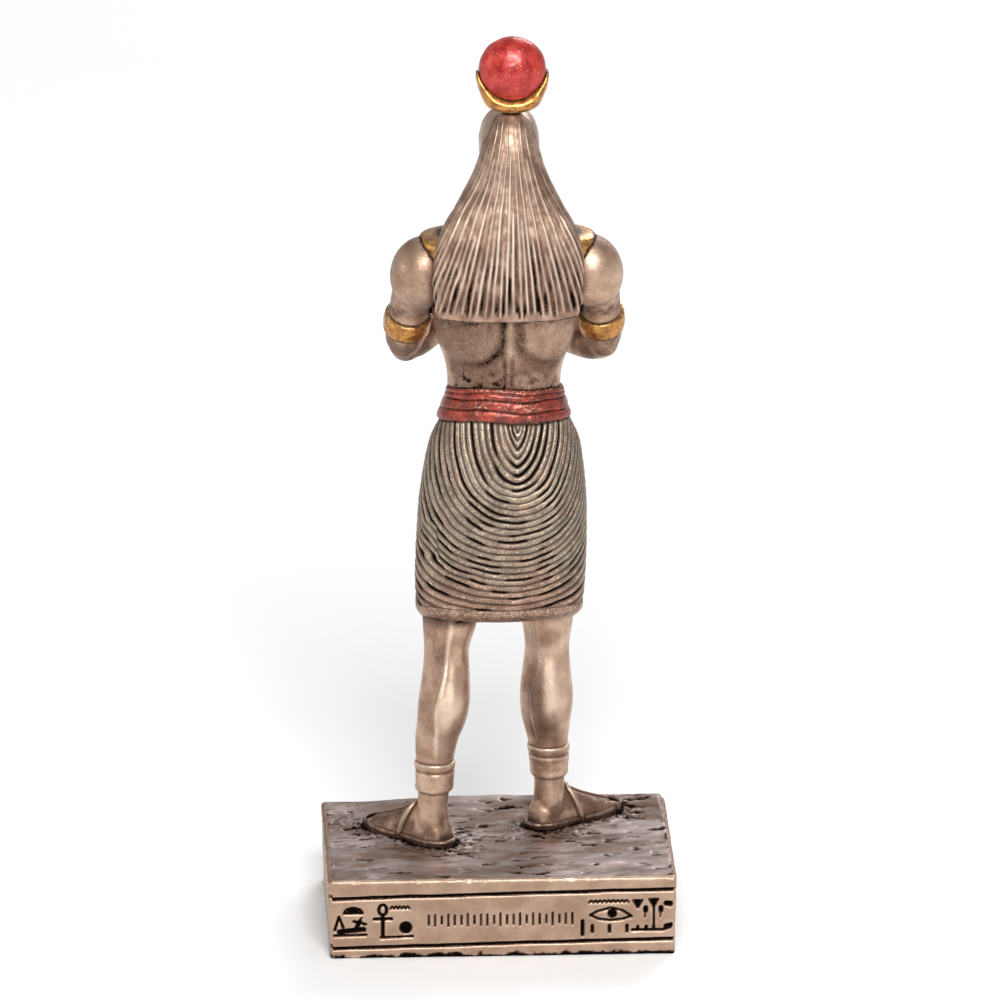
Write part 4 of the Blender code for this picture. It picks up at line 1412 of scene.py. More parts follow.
def make_belt(paint):
    """The belt: a cloth wound several times round the waist, flat, with uneven edges."""
    rows, columns = GRIDS["belt"]
    share, angle = grid(np.linspace(0, 1, rows), np.linspace(-math.pi, math.pi, columns, endpoint=False))
    low = 42.5 - 0.4 * bell(angle + 0.22, 0.4) + 0.1 * np.sin(3 * angle + 1.0)
    high = 45.55 + 0.12 * np.sin(2 * angle + 0.4) + 0.06 * np.sin(5 * angle)
    height = low + (high - low) * share
    folds = np.zeros_like(share)
    bands = np.zeros_like(share)
    edges = [0.0]
    for place, depth, drift in ((0.33, 0.13, 0.035), (0.7, 0.13, -0.045), (0.84, 0.09, 0.03)):
        line = place + drift * np.sin(angle + 2 * place) + 0.012 * np.sin(7 * angle)
        folds = folds - depth * bell(share - line, 0.028)
        edges.append(line)
    edges.append(1.0)
    for lower, upper in zip(edges, edges[1:]):
        part = np.clip((share - lower) / (upper - lower), 0, 1)
        bands = bands + 0.07 * np.sin(math.pi * part)
    profile = 0.1 + bands + folds - 0.3 * end_round(share, 0.06)
    skin = grid_skin(level_section(BELT, height, angle, profile, across=-0.1, tilt=BELT_TILT))
    skin.push(0.05 * rough(skin.points, 0.9, 3, 3.0) + 0.02 * rough(skin.points, 0.35, 2, 5.0))
    wash, wear = worn_and_washed("belt", skin)
    wash = np.maximum(wash, on_skin(-folds * 5.5))
    # Painted highlight where the bands turn to the light, on either side of the middle of the back,
    # strongest across the belt's middle and near its top; with the wear.
    facing = bell(angle - 0.35, 0.3) + bell(angle + 0.3, 0.3)
    lightened = facing * (0.15 + 0.2 * bell(share - 0.5, 0.15) + 0.15 * bell(share - 0.9, 0.08))
    finish_piece("belt", skin, paint, wash=wash, wear=0.35 * wear + on_skin(lightened))


def make_wig(paint):
    """
    The wig's back: fine strands that fan out from the crown over a plain lower edge. Between them more start
    lower down.
    """
    low, high = WIG[0][0], WIG[-1][0]
    rows, columns = GRIDS["wig"]
    height, angle = grid(np.linspace(low, high, rows), uneven_angles(columns, STRAND_SPREAD, 0.94))
    points = level_section(WIG, height, angle)
    signed, _ = round_distance(points)
    points[..., 2] -= 0.3 * np.clip(np.cos(angle), 0, 1) * smooth_step(57.0, 53.5, height)
    pitch = 2 * read(STRAND_FAN, height)[..., 0] / STRANDS
    wander = 0.2 * rough(points * (1, 1, 0.3), 1.6, 2, 1.0) + 0.2 * rough(points * (1, 1, 0.2), 5.0, 2, 3.0)
    phase = signed / pitch + STRANDS / 2 + 0.25 + wander
    number = np.floor(phase)
    odd = number % 2
    chance = np.sin(number * 12.9898) * 43758.5453 % 1.0
    offset = 0.5 + 0.2 * (chance - 0.5)
    fine = np.minimum(0.15, 0.34 * pitch) / pitch
    ridge = bell(phase - number - offset, fine)
    shade = bell(phase - number - offset + 2.0 * fine, 1.1 * fine)
    begins = np.where(odd > 0, 57.5 + 6.0 * chance, np.where(number % 4 > 0, 66.5 + 3.0 * chance, 99.0))
    strength = 1 - smooth_step(begins - 1.0, begins + 1.0, height)
    strength = strength * (0.5 + 0.65 * chance) * (0.82 + 0.3 * np.sin(number * 1.7 + height * 0.6))
    trim = smooth_step(low + 0.15 + 0.6 * chance, low + 0.75 + 0.6 * chance, height)
    fan = smooth_step(-0.6, 0.2, phase) * smooth_step(STRANDS + 0.8, STRANDS, phase)
    behind = smooth_step(-0.35, 0.1, np.cos(angle)) * fan * smooth_step(72.45, 71.6, height)
    show = strength * trim * behind
    size = 0.35 + 0.65 * np.clip(pitch / 0.6, 0, 1)
    carve = (STRAND_HEIGHT * ridge - 0.08 * shade) * show * size
    carve = carve + 0.03 * rough(points * (1, 1, 0.4), 0.6, 3, 3.0)
    carve = carve - 0.3 * np.clip(1 - (height - low) / 0.35, 0, 1) ** 2
    skin = grid_skin(points, carve)
    wash, wear = worn_and_washed("wig", skin)
    streak = 0.55 + 0.7 * rough(points * (1, 1, 0.3), 0.7, 3, 8.0)
    lower = smooth_step(65.0, 55.5, height)
    valley = (1 - ridge) * trim * behind * (0.22 + 0.62 * lower) * np.clip(0.2 + streak, 0, 1.25)
    # dark is painted shade down one side of each strand, heavier lower down.
    dark = shade * show * (0.45 + 0.5 * lower) * np.clip(0.4 + streak, 0, 1.3)
    wash = np.maximum(wash * 0.8, on_skin(np.maximum(dark, valley), low=1.0))
    # The strands' ridges are lighter: wear, with a painted sheen that is strongest across the middle of the
    # back and weaker near the lower edge.
    ridge_sheen = 0.55 + 0.45 * smooth_step(54.5, 58.5, height) + 0.3 * rough(points * (1, 1, 0.4), 1.2, 2, 4.0)
    ridge_sheen = ridge_sheen * (0.62 + 0.38 * bell(np.sin(angle), 0.5))
    bright = on_skin(ridge * show * ridge_sheen)
    finish_piece("wig", skin, paint, wash=wash, wear=bright + 0.3 * wear)


def make_lappets(paint):
    """The wig's two front locks, which lie on the chest."""
    for side, name in ((1, "left_lappet"), (-1, "right_lappet")):
        low, high = LAPPET[0][0], LAPPET[-1][0]
        points, angle, height = level_shape(LAPPET, low, high, GRIDS["lappet"], square=3.0)
        points[..., 0] += side * read(LAPPET_OFFSETS, height)[..., 0]
        strands = 0.5 + 0.5 * np.cos(angle * 16)
        ends = np.clip(np.minimum(height - low, high - height) / 0.4, 0, 1)
        carve = -0.12 * strands**2 * smooth_step(low + 0.5, low + 1.0, height) - 0.25 * (1 - ends) ** 2
        skin = grid_skin(points, carve)
        finish_worn(name, skin, paint, wash=(1, 0.6 * on_skin(strands**4)))


def make_collar(paint):
    """The broad collar, in rings round the neck, whose edge shows on the shoulders."""
    low, high = 55.6, 63.2
    points, angle, height = level_shape(COLLAR, low, high, GRIDS["collar"])
    rings = 0.5 + 0.5 * np.cos((height - low) / (high - low) * math.tau * 6)
    beads = 0.5 + 0.5 * np.cos(angle * 46)
    ahead = smooth_step(0.3, -0.4, np.cos(angle))
    carve = -0.08 * rings**3 + 0.05 * beads * (1 - rings) * ahead
    ends = np.clip((height - low) / 0.35, 0, 1)
    carve = carve - 0.3 * (1 - ends) ** 2
    skin = grid_skin(points, carve)
    # The collar's top is painted darker and with less wear, painted shade that dims the highlight on its
    # flat top.
    top = 0.2 * smooth_step(59.9, 60.5, skin.points[:, 2])
    finish_worn("collar", skin, paint, wash=(1, top), wear=(1 - 3 * top, 0))


def make_armlets(paint):
    for side, name in ((1, "left_armlet"), (-1, "right_armlet")):
        start, end = np.array(ARMLET_START), np.array(ARMLET_END)
        shares = np.linspace(0, 1, 34)
        profile = ARMLET_RADIUS - 0.42 * end_round(shares, 0.1) + 0.06 * bell(shares - 0.5, 0.3)
        path = [(*(start + (end - start) * s), r) for s, r in zip(shares, profile)]
        rows, columns = GRIDS["armlet"]
        skin = shape_skin(*tube(path, columns, rows, side, rounded=False))
        skin.roughen(0.04, 0.9, 2.0 + side)
        finish_worn(name, skin, paint)


def make_head(paint, dark):
    """The ibis head: a round skull, low cheeks, an eye on each side, and the long curved beak."""
    y, height = HEAD_MIDDLE
    middle = np.array([float(lean(height)), y, height])
    shapes = [ball(middle, HEAD_HALF, power=2.6, sides=48, layers=30)]
    shapes.append(ball(middle + (0, -1.9, -0.4), (1.9, 2.3, 2.2), power=2.2))
    shapes.append(tube([(0, -1.2, 60.5, 2.5), (0, -1.4, 64.5, 2.3), (0, -1.6, 67.5, 2.3)]))
    skin = fused(shapes, *VOXELS["head"])
    rel = skin.points - middle
    for side in (1, -1):
        eye = np.linalg.norm((rel - (side * 2.15, -2.35, 0.45)) * (1.0, 0.85, 1.15), axis=1)
        skin.push(-0.2 * bell(eye - 0.62, 0.16) + 0.16 * bell(eye, 0.45) + 0.1 * bell(eye - 0.95, 0.16))
        rel = skin.points - middle
    finish_worn("ibis_head", skin, paint, wash=(0.3, 0), wear=(1, 0.2))
    beak = fused([tube(BEAK, 36, 90)], *VOXELS["beak"])
    split = split_line(beak.points)
    beak.push(-0.16 * bell(split, 0.14))
    finish_worn("beak", beak, dark, wash=(1, 0.8 * bell(split, 0.16)))


def split_line(points):
    """How far points of the beak are from the line where its two halves meet."""
    rows = path_points(BEAK, 120)
    centres = rows[:, :3].copy()
    centres[:, 0] += lean(centres[:, 2])
    nearest = np.argmin(sum((points[:, None, i] - centres[None, :, i]) ** 2 for i in (1, 2)), axis=1)
    along = np.gradient(centres, axis=0)
    along /= np.linalg.norm(along, axis=1, keepdims=True)
    up = np.cross(along, (1.0, 0.0, 0.0))
    return np.einsum("ij,ij->i", points - centres[nearest], up[nearest])


def make_disc(red, gold):
    """The red disc, thick as a ball, in a gold crescent that holds its lower half like a bowl."""
    middle = np.array([float(lean(DISC_MIDDLE)), DISC_BACK, DISC_MIDDLE])
    layers, sides = GRIDS["disc"]
    half = (DISC_RADIUS, DISC_HALF_THICKNESS, DISC_RADIUS)
    skin = shape_skin(*ball(middle, half, sides=sides, layers=layers))
    skin.roughen(0.05, 1.3, 1.0)
    finish_worn("disc", skin, red, wash=(0.5, 0))
    steps, sides = GRIDS["crescent"]
    turns = round_angles(sides)
    rings = []
    for turn in np.radians(np.linspace(-CRESCENT_REACH, CRESCENT_REACH, steps)):
        low = max(0.0, math.cos(turn))
        outer = float(read(CRESCENT, abs(math.degrees(turn)))[0])
        inner = 2.45 + 0.65 * float(smooth_step(0.75, 0.0, low))
        inner = min(inner, outer - 0.08)
        depth = 0.35 + 1.5 * low**0.7
        out = np.array([math.sin(turn), 0.0, -math.cos(turn)])
        ring = middle + np.outer((outer + inner) / 2 + (outer - inner) / 2 * np.cos(turns), out)
        ring[:, 1] += depth * squared(np.sin(turns), 0.85)
        rings.append(ring)
    skin = grid_skin(np.array(rings))
    skin.roughen(0.04, 1.0, 6.0)
    tips = smooth_step(-1.6, 0.2, skin.points[:, 2] - DISC_MIDDLE)
    finish_worn("crescent", skin, gold, wash=(0.7, 0.45 * tips), wear=(1 - tips, 0))


def box_shape(size, middle, tilt, columns=30, rows=36):
    """A box with small round edges, tilted back about X, as rings up its height."""
    half = np.array(size) / 2
    turns = round_angles(columns * 4)
    rings = []
    for share in np.linspace(-1, 1, rows):
        edge = np.clip((abs(share) - 0.94) / 0.06, 0, 1)
        inset = 0.14 * edge**2
        x = (half[0] - inset) * squared(np.cos(turns), 0.12)
        y = (half[1] - inset) * squared(np.sin(turns), 0.3)
        rings.append(np.stack([x, y, np.full_like(x, half[2] * share)], axis=-1))
    return np.array(rings) @ turned("X", tilt).T + np.array(middle)


def make_tablet(paint, dark):
    """The writing tablet in the left hand and the reed pen in the right."""
    x, y, height = TABLET_MIDDLE
    middle = (x + float(lean(height)), y, height)
    skin = grid_skin(box_shape(TABLET_SIZE, middle, TABLET_TILT))
    skin.roughen(0.03, 0.8, 5.0)
    finish_worn("writing_tablet", skin, paint)
    pen = fused([tube([(*end, PEN_RADIUS) for end in PEN_ENDS], 16, 40)], *VOXELS["pen"])
    finish_worn("reed_pen", pen, dark)


def make_sash(paint):
    """The sash's end, which hangs down the front of the kilt, in long flat folds."""
    rows, columns = GRIDS["sash"]
    share, across = grid(np.linspace(0, 1, rows), np.linspace(-1, 1, columns))
    low, high = SASH_FRONTS[0][0], SASH_FRONTS[-1][0]
    height = low + (high - low) * share
    half = 1.5 * (1.25 - 0.25 * share)
    front = read(SASH_FRONTS, height)[..., 0]
    folds = 0.12 * np.cos(across * 9.0) * (1 - np.abs(across)) ** 0.3
    edge = 0.25 * np.clip((np.abs(across) - 0.85) / 0.15, 0, 1) ** 2
    face = np.stack([across * half + lean(height), front + 0.05 - folds * 0.6 + edge, height], axis=-1)
    back = face[:, ::-1].copy()
    back[..., 1] += 1.4
    skin = grid_skin(np.concatenate([face, back], axis=1))
    stripes = 0.5 + 0.5 * np.cos(skin.points[:, 2] * math.tau / 1.1)
    finish_worn("sash", skin, paint, wash=(1, 0.5 * stripes**6))


# The base


def arc(x, z, rx, rz, start=0, end=360, steps=10):
    """Points along an oval between two angles in degrees."""
    turns = np.radians(np.linspace(start, end, steps))
    return [(x + rx * math.cos(t), z + rz * math.sin(t)) for t in turns]


def ripple(x0, x1, z, waves, height):
    """Points of the zigzag that stands for water."""
    xs = np.linspace(x0, x1, waves * 2 + 1)
    return [(x, z + height * (1 if i % 2 else -1)) for i, x in enumerate(xs)]


def motif_strokes():
    """
    The back face's signs, as (points, half width) in millimetres: right along the face from its middle,
    and up.
    """
    strokes = []

    def line(points, half):
        strokes.append((points, half))

    # A dog at rest under a loaf, with a reed shelter behind it
    line([(-15.97, 2.34), (-12.93, 2.38)], 0.12)
    line([(-15.47, 2.72), (-13.18, 2.92)], 0.25)
    line([(-13.84, 3.1), (-13.54, 3.75)], 0.2)
    line([(-14.1, 3.75), (-13.0, 3.45)], 0.14)
    line([(-13.54, 3.9), (-13.34, 4.15)], 0.08)
    line([(-15.92, 2.9), (-15.52, 4.25), (-15.11, 3.15)], 0.12)
    for size in (0.82, 0.5, 0.2):
        line(arc(-14.16, 4.6, size, size * 0.62, 0, 180), 0.14)
    line([(-15.01, 4.58), (-13.29, 4.6)], 0.12)
    # A looped cross
    line(arc(-11.36, 4.89, 0.38, 0.52, steps=16), 0.14)
    line([(-12.17, 3.97), (-10.53, 3.98)], 0.15)
    line([(-11.36, 4.3), (-11.36, 2.3)], 0.17)
    # Water, the sun and the ground
    line(ripple(-10.65, -8.82, 5.12, 5, 0.12), 0.09)
    line(arc(-9.18, 3.07, 0.3, 0.3, steps=12), 0.32)
    line([(-11.56, 2.1), (-8.52, 2.18)], 0.11)
    # Water over an eye, with strokes below
    line(ripple(8.22, 11.98, 5.43, 9, 0.09), 0.1)
    line([(8.33, 4.05), (9.03, 4.45), (10.25, 4.78), (11.37, 4.5), (12.27, 3.89)], 0.11)
    line([(8.33, 4.05), (9.14, 3.66), (10.25, 3.52), (11.37, 3.62), (12.27, 3.89)], 0.11)
    line(arc(10.43, 4.2, 0.2, 0.2), 0.26)
    line([(7.61, 3.46), (7.61, 2.07)], 0.17)
    for x in (8.53, 10.17, 11.83):
        line([(x, 2.97), (x, 2.36)], 0.15)
    # Water lilies and their pool
    for x, z in ((12.85, 4.78), (14.37, 4.88)):
        for spread in (-0.4, -0.13, 0.13, 0.4):
            line([(x + spread, z + 0.72), (x, z)], 0.11)
    for x in (13.6, 15.05):
        line([(x, 4.72), (x, 4.45)], 0.23)
        line([(x, 4.4), (x - 0.08, 3.8)], 0.06)
    line([(14.37, 4.87), (14.37, 2.6)], 0.09)
    for x in (12.85, 13.65, 14.37):
        line([(x, 2.62), (x, 2.85)], 0.14)
    line([(12.33, 2.5), (15.22, 2.47), (15.93, 2.72)], 0.13)
    line([(15.53, 2.85), (16.03, 2.95)], 0.22)
    line([(15.58, 5.15), (15.98, 5.1)], 0.27)
    # Plain tally marks in the middle
    for k, x in enumerate(np.arange(-7.0, 6.9, 0.62)):
        tall = 0.5 + 0.12 * math.sin(k * 2.4)
        line([(x, 3.75 + tall), (x, 3.75 - tall)], 0.08)
    return strokes


def side_strokes(length):
    """A plainer row of the same kind of signs, for the faces that the photograph doesn't show."""
    count = int(length // SIGN_PITCH)
    strokes = []
    for k in range(count):
        strokes += side_sign(k % 5, (k - (count - 1) / 2) * SIGN_PITCH)
    return strokes


def side_sign(kind, x):
    """The strokes of one of five signs: a looped cross, water, reeds, an eye and a fork."""
    if kind == 0:
        loop = arc(x, 4.9, 0.34, 0.5, steps=14)
        return [(loop, 0.15), ([(x - 0.85, 4.15), (x + 0.85, 4.15)], 0.17), ([(x, 4.3), (x, 2.3)], 0.19)]
    if kind == 1:
        water = [(ripple(x - 1.2, x + 1.2, z, 3, -0.15), 0.13) for z in (5.3, 2.4)]
        return water + [([(x - 0.1, 3.8), (x + 0.1, 3.8)], 0.5)]
    if kind == 2:
        reeds = [([(x + shift, 5.4), (x + shift, 3.6)], 0.16) for shift in (-0.8, 0.0, 0.8)]
        return reeds + [([(x - 1.1, 2.5), (x + 1.1, 2.5)], 0.18)]
    if kind == 3:
        lids = [(arc(x, 3.4, 1.25, 0.8, 20, 160, 9), 0.13), (arc(x, 4.5, 1.25, -0.8, 20, 160, 9), 0.13)]
        return lids + [([(x - 0.05, 3.95), (x + 0.05, 3.95)], 0.24)]
    fork = [([(x - 0.6, 5.6), (x, 4.6), (x + 0.6, 5.6)], 0.13), ([(x, 5.6), (x, 2.9)], 0.13)]
    return fork + [([(x - 1.0, 2.5), (x + 1.0, 2.5)], 0.17)]


def carved_by(strokes, points):
    """0 on the plain face, 1 inside a stroke."""
    depth = np.zeros(len(points))
    for line, half in strokes:
        line = np.array(line, float)
        low, high = line.min(axis=0) - half - 0.2, line.max(axis=0) + half + 0.2
        near = np.all((points > low) & (points < high), axis=1)
        if near.any():
            distance = stroke_distance(points[near], line)
            depth[near] = np.maximum(depth[near], smooth_step(half + 0.07, half - 0.06, distance))
    return depth


def base_outline():
    """
    Points round the base at its top, face by face from the back: place, outward direction, face and distance
    along the face from its middle, to the right as seen.
    """
    width, depth, corner = BASE_WIDTH / 2, BASE_DEPTH / 2, BASE_CORNER
    rows = []
    faces = (
        ("back", (-1, 0), (0, 1), width, depth, BACK_STEP),
        ("right", (0, -1), (-1, 0), depth, width, OTHER_STEP),
        ("front", (1, 0), (0, -1), width, depth, OTHER_STEP),
        ("left", (0, 1), (1, 0), depth, width, OTHER_STEP),
    )
    for name, along, out, half, reach, step in faces:
        along, out = np.array(along, float), np.array(out, float)
        for s in np.linspace(-(half - corner), half - corner, int(2 * (half - corner) / step)):
            rows.append((out * reach + along * s, out, name, s))
        turn_centre = along * (half - corner) + out * (reach - corner)
        for turn in np.radians(np.linspace(0, 90, 7)[1:-1]):
            direction = out * math.cos(turn) + along * math.sin(turn)
            s = half - corner + corner * math.sin(turn)
            rows.append((turn_centre + direction * corner, direction, name, s))
    return rows


def base_profile():
    """Heights up the base's sides, over the round top edge and under the ground, and how far in each is."""
    rise = np.arange(0, BASE_HEIGHT - BASE_ROUND, RISE_STEP)
    profile = [(z, 0.0) for z in rise]
    for turn in np.radians(np.linspace(0, 90, 6)):
        inset = BASE_ROUND * (1 - math.cos(turn))
        profile.append((BASE_HEIGHT - BASE_ROUND + BASE_ROUND * math.sin(turn), inset))
    profile += [(BASE_HEIGHT - 0.03, BASE_ROUND + 0.25), (BASE_HEIGHT - 0.5, BASE_ROUND + 0.6)]
    profile[0] = (0.0, 0.22)
    profile[1] = (profile[1][0], 0.04)
    heights = np.array([z for z, _ in profile])
    insets = np.array([inset for _, inset in profile]) + BASE_DRAFT * (1 - heights / BASE_HEIGHT)
    return heights, insets


def frieze(points, names, along):
    """How deep the signs and the two lines are cut into the base's sides, and 1 where they are."""
    height = points[..., 2]
    carve = np.zeros(height.shape)
    ink = np.zeros(height.shape)
    for face, strokes in (
        ("back", motif_strokes()),
        ("right", side_strokes(BASE_DEPTH - SIGN_MARGIN)),
        ("front", side_strokes(BASE_WIDTH - SIGN_MARGIN)),
        ("left", side_strokes(BASE_DEPTH - SIGN_MARGIN)),
    ):
        here = names == face
        s = np.broadcast_to(along[here], (len(points), here.sum()))
        cut = carved_by(strokes, np.column_stack([s.ravel(), height[:, here].ravel()])).reshape(s.shape)
        carve[:, here] -= MOTIF_DEPTH * cut
        ink[:, here] = cut
    wobble = 0.05 * rough(points * (1, 1, 0.2), 5.0, 2, 3.0)
    for z in LINE_HEIGHTS:
        slope = np.where(names == "back", LINE_SLOPE * along, 0.0)
        cut = smooth_step(LINE_WIDTH / 2 + 0.05, LINE_WIDTH / 2 - 0.07, np.abs(height + wobble - z - slope))
        cut = cut * smooth_step(0.1, 0.35, inner_distance(points))
        carve -= LINE_DEPTH * cut
        ink = np.maximum(ink, cut)
    return carve, ink


def make_base_sides(paint):
    """The base's four faces, with the frieze cut in between two lines, a rough lower edge with painted
    shadow along it, and a painted highlight along the back face's top edge.
    """
    places, outs, names, along = (np.array(column) for column in zip(*base_outline()))
    heights, insets = base_profile()
    flat = places[None] - outs[None] * insets[:, None, None]
    level = np.broadcast_to(heights[:, None, None], (*flat.shape[:2], 1))
    points = np.concatenate([flat, level], axis=-1)
    height = points[..., 2]
    carve, ink = frieze(points, names, along)
    chips = rough(points, 1.1, 3, 6.0)
    top_edge = smooth_step(BASE_HEIGHT - 0.4, BASE_HEIGHT - 0.1, height)
    bottom_edge = smooth_step(0.7, 0.0, height)
    carve -= 0.22 * np.clip(chips - 0.15, 0, 1) * (top_edge + bottom_edge)
    carve += 0.04 * rough(points, 2.4, 3, 1.0) + 0.02 * rough(points, 0.5, 2, 2.0)
    carve = np.minimum(carve - 0.045, -0.01)
    skin = grid_skin(points)
    skin.points[:-2, :2] += (outs[None] * carve[..., None]).reshape(-1, 2)
    # Painted shadow along the foot of the sides, where the base meets the floor; the underside is painted
    # black too.
    bottom_shadow = smooth_step(0.5, 0.24, height + 0.4 * rough(points * (0.6, 0.6, 1), 0.8, 3, 9.0))
    wash, wear = worn_and_washed("base_sides", skin)
    # Painted highlight along the top edge, strongest on the back face, which is turned to the key light; the
    # top edges of the other faces are darker.
    edge_highlight = np.where(names == "back", 0.34, 0.08)
    ink = np.max([ink, bottom_shadow, (0.4 - 0.9 * edge_highlight) * top_edge], axis=0)
    wash = np.maximum(on_skin(ink, low=1.0), wash * 0.8)
    wear = wear * 0.7 + on_skin(edge_highlight * top_edge * (0.6 + chips))
    finish_piece("base_sides", skin, paint, wash=wash, wear=wear)


def inner_distance(points):
    """How far inside the base's upright corners a point of its faces lies, measured along the face."""
    x = BASE_WIDTH / 2 - np.abs(points[..., 0])
    y = BASE_DEPTH / 2 - np.abs(points[..., 1])
    return np.maximum(x, y)


def foot_distance(points):
    """How far flat points are from the nearer sandal."""
    best = np.full(len(points), np.inf)
    for name in FEET:
        heel, ahead, _ = foot_frame(name)
        line = [heel + ahead * 1.35, heel + ahead * 8.7]
        best = np.minimum(best, stroke_distance(points, line) - 1.75)
    return best


def make_ground(paint):
    """The base's rough top: shallow windblown ridges, pits, and grit heaped round the sandals."""
    rows, columns = GRIDS["ground"]
    half_width, half_depth = BASE_WIDTH / 2 - GROUND_INSET, BASE_DEPTH / 2 - GROUND_INSET
    y, x = grid(np.linspace(-half_depth, half_depth, rows), np.linspace(-half_width, half_width, columns))
    flat = np.stack([x, y, np.zeros_like(x)], axis=-1)
    near = foot_distance(flat.reshape(-1, 3)[:, :2]).reshape(x.shape)
    heap = smooth_step(2.0, 0.3, near)
    long = rough(flat * (0.35, 1.0, 1.0), 1.6, 2, 1.0)
    grit = rough(flat, 0.42, 3, 2.0)
    cracks = smooth_step(0.3, 0.5, rough(flat * (0.3, 1.0, 1.0), 0.7, 2, 3.0))
    patch = smooth_step(-0.05, 0.35, rough(flat * (0.7, 1.0, 1.0), 3.6, 2, 4.0))
    fine_pits = smooth_step(0.15, 0.5, rough(flat * (0.7, 1.0, 1.0), 0.4, 2, 8.0))
    crumbs = np.clip(patch * smooth_step(5.0, 1.5, near) + heap, 0, 1)
    height = 0.15 * long + 0.035 * grit * crumbs
    height -= 0.26 * cracks * (0.2 + 0.8 * patch)
    height += heap * (0.14 + 0.13 * grit)
    height -= 0.07 * fine_pits * (0.08 + 0.92 * crumbs)
    border = np.minimum(half_width - np.abs(x), half_depth - np.abs(y))
    mound = (0.1 + 0.42 * smooth_step(13.0, 5.0, x)) * smooth_step(-7.6, -10.2, y)
    mound = mound * smooth_step(0.0, 1.2, near)
    height *= smooth_step(-0.1, 0.7, border) * 0.8 + 0.2
    height += mound * smooth_step(0.0, 0.5, border)
    height -= 0.1 * smooth_step(0.25, 0.0, border)
    top = np.stack([x, y, BASE_HEIGHT + 0.02 + height], axis=-1)
    skin = height_field_skin(top, BASE_HEIGHT - 0.7)
    # dark: painted shadow along the sandals, with wash in the grit heaped round them, in the cracks and in
    # the pits.
    dark = 0.9 * smooth_step(0.45, 0.1, near) + 0.3 * heap * smooth_step(-0.3, 0.3, grit)
    dark = dark + 0.95 * cracks * (0.2 + 0.8 * patch) + 0.55 * fine_pits * (0.12 + 0.88 * crumbs)
    around = np.zeros(len(skin.points))
    around[: rows * columns] = (dark + 0.08 * patch).ravel()
    finish_worn("ground", skin, paint, wash=(1, around), wear=(0.2, 0))


def height_field_skin(top, floor):
    """A skin from a grid of points seen from above, with walls down to a flat underside."""
    rows, columns, _ = top.shape
    index = np.arange(rows * columns).reshape(rows, columns)
    rim = np.concatenate([index[0, :-1], index[:-1, -1], index[-1, :0:-1], index[:0:-1, 0]])
    points = top.reshape(-1, 3)
    count = len(points)
    lower = points[rim].copy()
    lower[:, 2] = floor
    middle = count + len(rim)
    points = np.vstack([points, lower, [[0.0, 0.0, floor]]])
    faces = grid_faces(rows, columns, False).tolist()
    for i in range(len(rim)):
        j = (i + 1) % len(rim)
        faces.append((rim[i], rim[j], count + j, count + i)[::-1])
        faces.append((count + i, count + j, middle)[::-1])
    return shape_skin(*outward(points, faces))


# The stage, the lights and the camera


def make_stage():
    """A plain pale floor."""
    mesh = to_mesh("floor", [(-2, -2, 0), (2, -2, 0), (2, 2, 0), (-2, 2, 0)], [(0, 1, 2, 3)])
    floor = bpy.data.objects.new("floor", mesh)
    bpy.context.scene.collection.objects.link(floor)
    paint = Paint("pale floor", 0.0, 0.7)
    tone = paint.mix(paint.grain(60.0, 2.0), (0.86, 0.86, 0.86, 1.0), (0.9, 0.9, 0.9, 1.0))
    paint.set("Base Color", tone)
    mesh.materials.append(paint.material)


def make_light(name, place, size, power, tint=(1.0, 1.0, 1.0)):
    """A soft square light, in millimetres, aimed at the figure."""
    data = bpy.data.lights.new(name, "AREA")
    data.shape = "RECTANGLE"
    data.size, data.size_y = size[0] * MM, size[1] * MM
    data.energy = power
    data.color = tint
    light = bpy.data.objects.new(name, data)
    light.location = Vector(place) * MM
    aim = Vector((0, 0, 45 * MM)) - light.location
    light.rotation_euler = aim.to_track_quat("-Z", "Y").to_euler()
    bpy.context.scene.collection.objects.link(light)


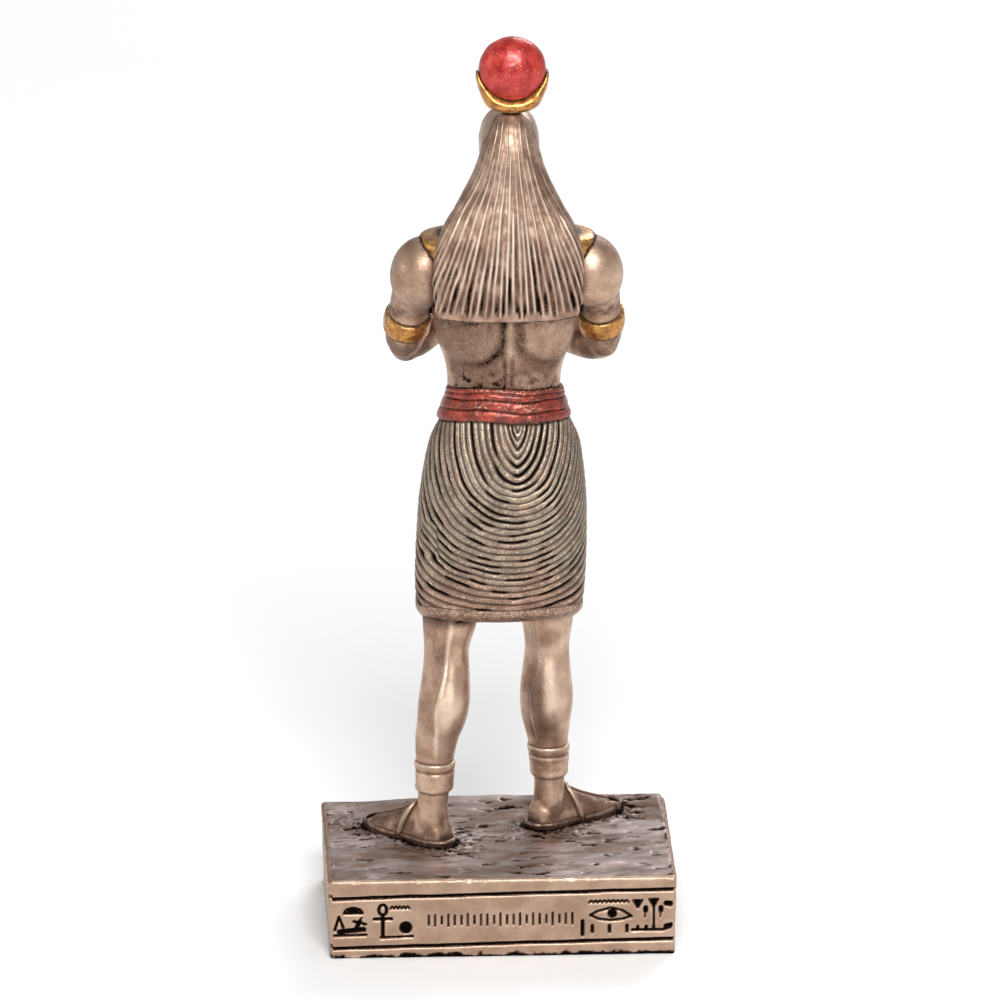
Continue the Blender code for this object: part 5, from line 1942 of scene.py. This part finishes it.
def make_lights():
    world = bpy.data.worlds.new("soft studio")
    world.use_nodes = True
    background = world.node_tree.nodes["Background"]
    background.inputs["Color"].default_value = (1.0, 1.0, 1.0, 1.0)
    background.inputs["Strength"].default_value = 0.46
    bpy.context.scene.world = world
    bpy.context.scene.view_settings.view_transform = "Standard"
    make_light("key", (-40, 700, 620), (330, 330), 7.8)
    make_light("side", (620, 120, 260), (260, 420), 0.6)
    make_light("front", (-300, -700, 520), (420, 420), 3.2)


def make_camera():
    turn, rise = math.radians(CAMERA_AZIMUTH), math.radians(CAMERA_ELEVATION)
    right = Vector((math.cos(turn), math.sin(turn), 0.0))
    level = Vector((0.0, 0.0, 1.0)).cross(right)
    look = level * math.cos(rise) - Vector((0.0, 0.0, math.sin(rise)))
    up = right.cross(look)
    aim = right * CAMERA_AIM[0] + Vector((0.0, 0.0, CAMERA_AIM[1]))
    roll = math.radians(CAMERA_ROLL)
    across = right * math.cos(roll) + up * math.sin(roll)
    above = up * math.cos(roll) - right * math.sin(roll)
    data = bpy.data.cameras.new("camera")
    data.lens = CAMERA_LENS
    data.sensor_width = 36.0
    data.clip_start = 0.05
    data.clip_end = 10.0
    camera = bpy.data.objects.new("camera", data)
    rotation = Matrix((across, above, -look)).transposed().to_4x4()
    camera.matrix_world = Matrix.Translation((aim - look * CAMERA_DISTANCE) * MM) @ rotation
    bpy.context.scene.collection.objects.link(camera)
    bpy.context.scene.camera = camera


def main():
    paints = make_materials()
    make_camera()
    make_lights()
    make_stage()
    make_upper_body(paints["skin"])
    for name, table in (("left", LEFT_LEG), ("right", RIGHT_LEG)):
        make_leg(name, table, paints["skin"])
        make_ankle_band(name, table, paints["skin"])
        make_sole(name, paints["dark"])
        make_strap(name, paints["dark"])
    make_kilt(paints["kilt"])
    make_belt(paints["belt"])
    make_wig(paints["wig"])
    make_lappets(paints["wig"])
    make_collar(paints["gold"])
    make_armlets(paints["gold"])
    make_head(paints["wig"], paints["dark"])
    make_disc(paints["disc"], paints["gold"])
    make_tablet(paints["frieze"], paints["dark"])
    make_sash(paints["belt"])
    make_base_sides(paints["frieze"])
    make_ground(paints["ground"])
    build_pieces()


main()
